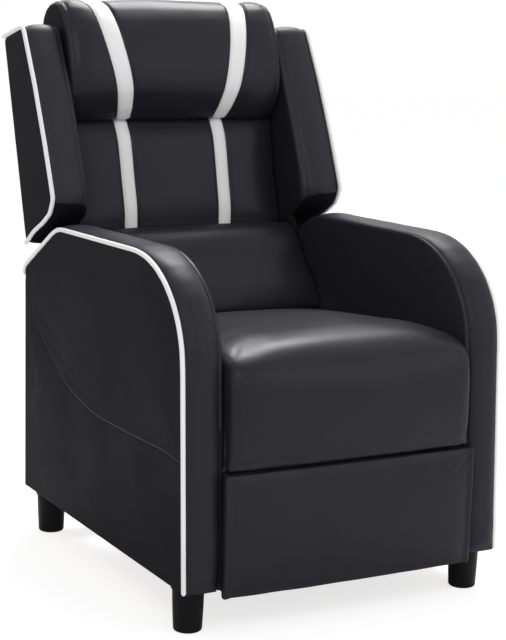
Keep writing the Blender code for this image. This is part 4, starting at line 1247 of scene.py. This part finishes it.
def makeLeg(word, place):
    node = f"leg_{place}_{word}"
    low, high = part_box(node)
    foot, edge, top, rim, height = (leg[part] for part in ("foot", "edge", "top", "plate", "height"))
    profile = [(0.0, 0.0012), (foot - edge - 0.004, 0.0012), (foot - edge - 0.002, 0.0)]
    for angle in np.linspace(0, math.pi / 2, 7):
        profile.append((foot - edge + edge * math.sin(angle), edge - edge * math.cos(angle)))
    waist = height - leg["collar"]
    for share in np.linspace(0.08, 1.0, 9):
        radius = foot + (top - foot) * share + 0.0003 * math.sin(math.pi * share)
        profile.append((radius, edge + (waist - edge) * share))
    profile += [
        (top - 0.0006, waist + 0.0006), (top - 0.0006, waist + 0.0018), (rim - 0.0006, waist + 0.0020),
        (rim, waist + 0.0028), (rim, height - 0.0006), (rim - 0.0006, height), (0.0, height),
    ]
    radius, z = np.array(profile).T
    angles = np.linspace(0, 2 * math.pi, leg["segments"], endpoint=False)
    x = (low[0] + high[0]) / 2 + np.outer(radius, np.cos(angles))
    y = (low[1] + high[1]) / 2 + np.outer(radius, np.sin(angles))
    points = np.dstack([x, y, np.broadcast_to(z[:, None], x.shape)]).reshape(-1, 3)
    faces = gridFaces(len(profile), leg["segments"], wrapped=True)
    finishPiece(meshPiece(node + "_turned", points, faces, legPlastic), "base", [node])


cover = {
    "rows": 150, "columns": 110, "inset": 0.0006, "endInset": 0.001, "sunk": 0.0012, "bulge": 0.0012,
    "rim": 0.0008, "ripple": 0.0008, "wall": 0.0011,
}


def makeRearCover():
    places = valuesOf(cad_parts["back_cover"])
    depths, ups = backPlace(places)
    wide, bottom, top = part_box("back_cover")[1][0], ups.min(), ups.max()
    narrow = np.abs(places[ups < bottom + 0.05][:, 0]).max()
    step = float(np.median(ups[(ups > bottom + 0.02) & (ups < top - 0.02)]))
    rows = np.linspace(bottom + cover["endInset"], top - cover["endInset"], cover["rows"])
    up, share = np.meshgrid(rows, np.linspace(-1, 1, cover["columns"]), indexing="ij")
    edge = np.minimum(1 - np.abs(share), np.minimum(up - bottom, top - up) / 0.3)
    bulge = cover["bulge"] * smoothStep(edge / 0.1) - cover["rim"]
    half = np.where(up < step, narrow, wide) - cover["inset"]
    points = np.dstack([half * share, depths.max() - cover["sunk"] + bulge, up]).reshape(-1, 3)
    points[:, 1] += cover["ripple"] * waviness(points, 0.16, 77.0)
    faces = gridFaces(cover["rows"], cover["columns"])
    piece = meshPiece("rearClothPanel", backToWorld(*points.T), faces, rearCloth)
    finishPiece(walled(piece, cover["wall"], -backOut), "back", ["back_cover"])


webbing = {"straps": 4, "strapWidth": 0.050, "lift": 0.0011, "thickness": 0.0013}


def newGeometryTree(name, inputs):
    tree = bpy.data.node_groups.new(name, "GeometryNodeTree")
    addSocket(tree, "Geometry", "Geometry")
    for label, value in inputs.items():
        kind = {int: "Int", float: "Float"}.get(type(value), "Material")
        socket = addSocket(tree, label, kind)
        if value is not None:
            socket.default_value = value
    return tree, tree.nodes.new("NodeGroupInput").outputs


# one geometry node after another, each taking the last one's result first
def geometryNode(tree, kind, before, inputs=()):
    return addNode(tree, "GeometryNode" + kind, {0: before, **dict(inputs)}).outputs[0]


# straps along X and along Y, each passing over and under the others
def strapTree():
    tree, value = newGeometryTree("wovenStraps", {
        "Half Width": 0.2, "Front": 0.0, "Rear": 0.4, "Height": 0.3, "Strap Width": 0.05, "Lift": 0.001,
        "Pitch X": 0.08, "Pitch Y": 0.09, "Start X": 0.0, "Start Y": 0.0, "Straps": 4, "Cloth": None,
    })
    join = tree.nodes.new("GeometryNodeJoinGeometry")
    length = mathNode(tree, "SUBTRACT", value["Rear"], value["Front"])
    middle = mathNode(tree, "MULTIPLY", mathNode(tree, "ADD", value["Rear"], value["Front"]), 0.5)
    width = mathNode(tree, "MULTIPLY", value["Half Width"], 2.0)
    strap = value["Strap Width"]
    for own, other, sizeX, sizeY, countX, countY, way, start in (
        ("X", "Y", strap, length, 7, 120, 1.0, {"Y": middle}), ("Y", "X", width, strap, 120, 7, -1.0, {}),
    ):
        strip = addNode(tree, "GeometryNodeMeshGrid", {
            "Size X": sizeX, "Size Y": sizeY, "Vertices X": countX, "Vertices Y": countY,
        }).outputs["Mesh"]
        start = combined(tree, Z=value["Height"], **{own: value[f"Start {own}"]}, **start)
        row = addNode(tree, "GeometryNodeMeshLine", {
            "Count": value["Straps"], "Start Location": start,
            "Offset": combined(tree, **{own: value[f"Pitch {own}"]}),
        }).outputs[0]
        straps = geometryNode(tree, "InstanceOnPoints", row, {"Instance": strip})
        straps = geometryNode(tree, "RealizeInstances", straps)
        parts = separated(tree, tree.nodes.new("GeometryNodeInputPosition").outputs[0])
        steps = {
            axis: mathNode(tree, "DIVIDE", mathNode(tree, "SUBTRACT", parts[axis], value[f"Start {axis}"]),
                           value[f"Pitch {axis}"])
            for axis in "XY"
        }
        phase = mathNode(tree, "ADD", mathNode(tree, "ROUND", steps[own]), steps[other])
        wave = mathNode(tree, "COSINE", mathNode(tree, "MULTIPLY", phase, math.pi))
        lift = mathNode(tree, "MULTIPLY", mathNode(tree, "MULTIPLY", wave, value["Lift"]), way)
        straps = geometryNode(tree, "SetPosition", straps, {"Offset": combined(tree, Z=lift)})
        tree.links.new(straps, join.inputs[0])
    woven = geometryNode(tree, "RealizeInstances", join.outputs[0])
    woven = geometryNode(tree, "SetMaterial", woven, {"Material": value["Cloth"]})
    return putOut(tree, "Geometry", Geometry=woven)


def grown(piece, tree, values):
    nodes = piece.modifiers.new(tree.name, "NODES")
    nodes.node_group = tree
    sockets = {item.name: item.identifier for item in tree.interface.items_tree if item.in_out == "INPUT"}
    for label, value in values.items():
        nodes[sockets[label]] = value
    return plainMesh(piece)


def makeWebbing():
    low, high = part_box("seat_webbing")
    half, front, rear = high[0], low[1], high[1]
    count, width = webbing["straps"], webbing["strapWidth"]
    gapX = (2 * half - count * width) / (count + 1)
    gapY = (rear - front - count * width) / (count + 1)
    piece = grown(linked("wovenWebbing", bpy.data.meshes.new("wovenWebbing")), strapTree(), {
        "Half Width": half, "Front": front, "Rear": rear, "Height": (low[2] + high[2]) / 2,
        "Strap Width": width, "Lift": webbing["lift"], "Straps": count, "Cloth": strapWebbing,
        "Pitch X": gapX + width, "Pitch Y": gapY + width,
        "Start X": -half + gapX + width / 2, "Start Y": front + gapY + width / 2,
    })
    finishPiece(walled(piece, webbing["thickness"], offset=0), "seat", ["seat_webbing"])


# stitches beside the seams, one short thread after another along a line

# beside: how far each row lies from its seam
stitch = {
    "pitch": 0.0052,
    "length": 0.0038,
    "thread": 0.00045,
    "proud": 0.0002,
    "acrossHalf": 0.221,
    "besideLumbar": (0.0045, -0.0045),
    "besideBolster": (0.0050, -0.0045),
    "stripeGap": 0.003,
    "stripeRun": (0.283, 0.700),
    "besideStripe": (-0.0042, 0.0042),
    "seatSide": 0.2195,
    "seatTop": (-0.40, 0.06),
    "seatFront": (0.30, 0.455),
    "footrestSide": 0.2325,
    "footrestFront": (0.08, 0.25),
}


def stitchTree():
    tree, value = newGeometryTree("stitchRow", {
        "Pitch": 0.005, "Length": 0.0034, "Thread": 0.0005, "Thread Material": None,
    })
    path = geometryNode(tree, "MeshToCurve", value["Geometry"])
    spaced = addNode(tree, "GeometryNodeCurveToPoints", {"Curve": path, "Length": value["Pitch"]},
                     mode="LENGTH")
    thread = addNode(tree, "GeometryNodeMeshIcoSphere", {"Radius": 1.0, "Subdivisions": 2}).outputs["Mesh"]
    half = mathNode(tree, "MULTIPLY", value["Length"], 0.5)
    row = geometryNode(tree, "InstanceOnPoints", spaced.outputs["Points"], {
        "Instance": thread, "Rotation": spaced.outputs["Rotation"],
        "Scale": combined(tree, X=value["Thread"], Y=value["Thread"], Z=half),
    })
    row = geometryNode(tree, "SetShadeSmooth", geometryNode(tree, "RealizeInstances", row))
    row = geometryNode(tree, "SetMaterial", row, {"Material": value["Thread Material"]})
    return putOut(tree, "Geometry", Geometry=row)


stitchRow = stitchTree()


# a line laid onto the pieces: each point goes to the nearest skin along a direction
def laidOn(pieces, line, direction, reach):
    graph = bpy.context.evaluated_depsgraph_get()
    trees = [BVHTree.FromObject(piece, graph) for piece in pieces]
    aim, laid = Vector(direction).normalized(), []
    for point in line:
        hits = [tree.ray_cast(Vector(point) - aim * reach, aim, 2 * reach) for tree in trees]
        hits = [(distance, place + normal * stitch["proud"]) for place, normal, _, distance in hits if place]
        laid.append(min(hits, key=lambda hit: hit[0])[1] if hits else None)
    return laid


def stitchLines(name, body, lines):
    points, edges = [], []
    for line in lines:
        for before, point in zip([None] + line, line):
            if point is not None:
                points.append(tuple(point))
                if before is not None:
                    edges.append((len(points) - 2, len(points) - 1))
    mesh = bpy.data.meshes.new(name)
    mesh.from_pydata(points, edges, [])
    piece = grown(linked(name, mesh), stitchRow, {
        "Pitch": stitch["pitch"], "Length": stitch["length"], "Thread": stitch["thread"],
        "Thread Material": blackThread,
    })
    finishPiece(piece, body)


def makeStitches(backPieces, seatCushion, footrestPad):
    lumbar, bolster = stripe["lumbarSeamUp"], stripe["bolsterSeamUp"]
    lines, columns = [], np.linspace(-stitch["acrossHalf"], stitch["acrossHalf"], 300)
    side, gap = np.abs(columns), stitch["stripeGap"]
    for seam, beside in ((lumbar, stitch["besideLumbar"]), (bolster, stitch["besideBolster"])):
        for up in (seam + away for away in beside):
            inner, outer = stripeEdges(up)
            white = (side > inner - gap) & (side < outer + gap) & (up > lumbar)
            laid = laidOn(backPieces, backToWorld(columns, 0.03, up), -backOut, 0.12)
            lines.append([None if hidden else point for point, hidden in zip(laid, white)])
    ups = np.linspace(*stitch["stripeRun"], 240)
    for turn in (-1, 1):
        for edge, away in zip(stripeEdges(ups), stitch["besideStripe"]):
            lines.append(laidOn(backPieces, backToWorld(turn * (edge + away), 0.03, ups), -backOut, 0.12))
    stitchLines("backStitches", "back", lines)
    seatLines, footrestLines = [], []
    for turn in (-1, 1):
        x = turn * stitch["seatSide"]
        raw = [(x, y, 0.47) for y in np.linspace(*stitch["seatTop"], 220)]
        seatLines.append(laidOn([seatCushion], raw, (0, 0, -1), 0.08))
        raw = [(x, -0.42, z) for z in np.linspace(*stitch["seatFront"], 80)]
        seatLines.append(laidOn([seatCushion], raw, (0, 1, 0), 0.06))
        raw = [(turn * stitch["footrestSide"], -0.41, z) for z in np.linspace(*stitch["footrestFront"], 80)]
        footrestLines.append(laidOn([footrestPad], raw, (0, 1, 0), 0.05))
    stitchLines("seatStitches", "seat", seatLines)
    stitchLines("footrestStitches", "footrest", footrestLines)


# finishes of the kept frame parts, by the start of their names

frameFinishes = [
    (boardWood, ("arm_frame", "front_stretcher", "rear_stretcher", "seat_frame")),
    (rearCloth, ("footrest_board", "back_frame")),
    (coatedSteel, ("base_rail", "swing_link", "cross_tube", "seat_side_plate", "fold_link", "carrier_link",
                   "footrest_bracket", "back_bracket")),
    (zincSteel, ("swing_shaft", "seat_shaft", "back_hinge_shaft", "fold_shaft", "footrest_shaft")),
]


def dressFrame():
    for node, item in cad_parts.items():
        for material, starts in frameFinishes:
            if node.startswith(starts):
                for place in item.material_slots:
                    place.material = material


# studio, each lamp with its place, aim, power and size

studio = {
    "cameraPlace": (-1.55227, -2.91615, 1.06974),
    "yaw": 0.49589,
    "pitch": 0.18784,
    "roll": 0.02478,
    "lens": 101.95,
    "lamps": {
        "keyLamp": ((-2.1, -2.9, 2.9), (0, -0.1, 0.45), 33.0, 1.3),
        "topLamp": ((0.75, 1.15, 2.7), (0, -0.3, 0.45), 80.0, 1.2),
        "fillLamp": ((1.5, -2.6, 1.75), (0, 0, 0.6), 20.8, 2.6),
        "rearLamp": ((0.4, 3.0, 2.4), (0, 0, 0.6), 16.0, 1.8),
    },
    "worldLight": 0.56,
    "floorHalf": 12,
    "floorGlow": 1.45,
    "floorGlowShare": 0.5,
}


def addCamera():
    yaw, pitch, roll = studio["yaw"], studio["pitch"], studio["roll"]
    ahead = Vector((math.sin(yaw) * math.cos(pitch), math.cos(yaw) * math.cos(pitch), -math.sin(pitch)))
    right = Vector((math.cos(yaw), -math.sin(yaw), 0.0))
    above = right.cross(ahead)
    x = math.cos(roll) * right + math.sin(roll) * above
    y = -math.sin(roll) * right + math.cos(roll) * above
    camera = linked("photoCamera", bpy.data.cameras.new("photoCamera"))
    camera.data.lens = studio["lens"]
    camera.data.sensor_width = 36.0
    camera.data.clip_end = 60.0
    turn = Matrix((x, y, -ahead)).transposed()
    camera.matrix_world = Matrix.Translation(studio["cameraPlace"]) @ turn.to_4x4()
    bpy.context.scene.camera = camera


def addLamps():
    for name, (place, aim, power, size) in studio["lamps"].items():
        lamp = linked(name, bpy.data.lights.new(name, "AREA"))
        lamp.data.energy, lamp.data.size = power, size
        lamp.location = place
        lamp.rotation_euler = (Vector(aim) - Vector(place)).to_track_quat("-Z", "Y").to_euler()


def addWorld():
    world = bpy.data.worlds.new("studioWorld")
    world.use_nodes = True
    tree = world.node_tree
    rays = tree.nodes.new("ShaderNodeLightPath").outputs
    seen = mathNode(tree, "MAXIMUM", rays["Is Camera Ray"], rays["Is Glossy Ray"])
    seen = mathNode(tree, "MAXIMUM", seen, rays["Is Transmission Ray"])
    background = tree.nodes["Background"].inputs
    tree.links.new(mapRange(tree, seen, 0.0, 1.0, studio["worldLight"]), background["Strength"])
    background["Color"].default_value = (1, 1, 1, 1)
    bpy.context.scene.world = world


def addFloor():
    half, mesh = studio["floorHalf"], bpy.data.meshes.new("studioFloor")
    corners = [(-half, -half, 0), (half, -half, 0), (half, half, 0), (-half, half, 0)]
    mesh.from_pydata(corners, [], [(0, 1, 2, 3)])
    floor = linked("studioFloor", mesh)
    material, tree, sockets = newMaterial("paleFloor", (0.95, 0.95, 0.955), 0.9, specular=0.0)
    patch = placeGroup(tree, surfaceWear, Speckle_Scale=300.0)["Patch"]
    tree.links.new(mixColours(tree, patch, (0.945, 0.945, 0.95), (0.96, 0.96, 0.965)), sockets["Base Color"])
    glow = addNode(tree, "ShaderNodeEmission", {"Strength": studio["floorGlow"]}).outputs[0]
    rays = tree.nodes.new("ShaderNodeLightPath").outputs
    seen = mathNode(tree, "MULTIPLY", rays["Is Camera Ray"], studio["floorGlowShare"])
    plain = tree.nodes["Principled BSDF"].outputs[0]
    blend = addNode(tree, "ShaderNodeMixShader", {0: seen, 1: plain, 2: glow}).outputs[0]
    tree.links.new(blend, tree.nodes["Material Output"].inputs["Surface"])
    mesh.materials.append(material)


# making the chair

addCamera()
addLamps()
addWorld()
addFloor()
bpy.context.scene.view_settings.view_transform = "Standard"
dressFrame()
print("frame dressed, studio ready")

seatCushion = makeSeatCushion()
footrestPad = makeFootrestPad()
makeFootrestWrap()
print("seat and footrest stuffed")
backPieces = [
    makeBackPad("backPanelPad", "back_panel"),
    makeBackPad("lumbarPad", "lumbar_roll"),
    makeBackPad("headrestPad", "headrest_bolster"),
]
makeSeamFold("lumbarSeamFold", stripe["lumbarSeamUp"], backPieces[:2], blackLeather)
makeSeamFold("bolsterSeamFold", stripe["bolsterSeamUp"], backPieces[::2], stripedLeather)
print("back stuffed")
outline = armLine()
chamferEnd = len(outline) // 2 + int(np.argmin(np.abs(outline[len(outline) // 2:, 1] - chair["pipingEnd"])))
for word, turn in (("left", -1), ("right", 1)):
    makeSeatReturn(word, turn)
    makeWing(word, turn)
    makeArmBand(word, turn, outline)
    makeArmPanels(word, turn, outline)
    makePiping("arm", word, turn, "base", insetLine(outline, piping["inset"])[:chamferEnd])
    makePiping("wing", word, turn, "back", pipingLine(f"wing_piping_{word}"))
    makeBackGusset(word, turn)
    makeLeg(word, "front")
    makeLeg(word, "rear")
print("arms, wings and legs made")
makeRearCover()
makeLumbarFlap()
makeWebbing()
makeStitches(backPieces, seatCushion, footrestPad)
print("webbing and stitches made")
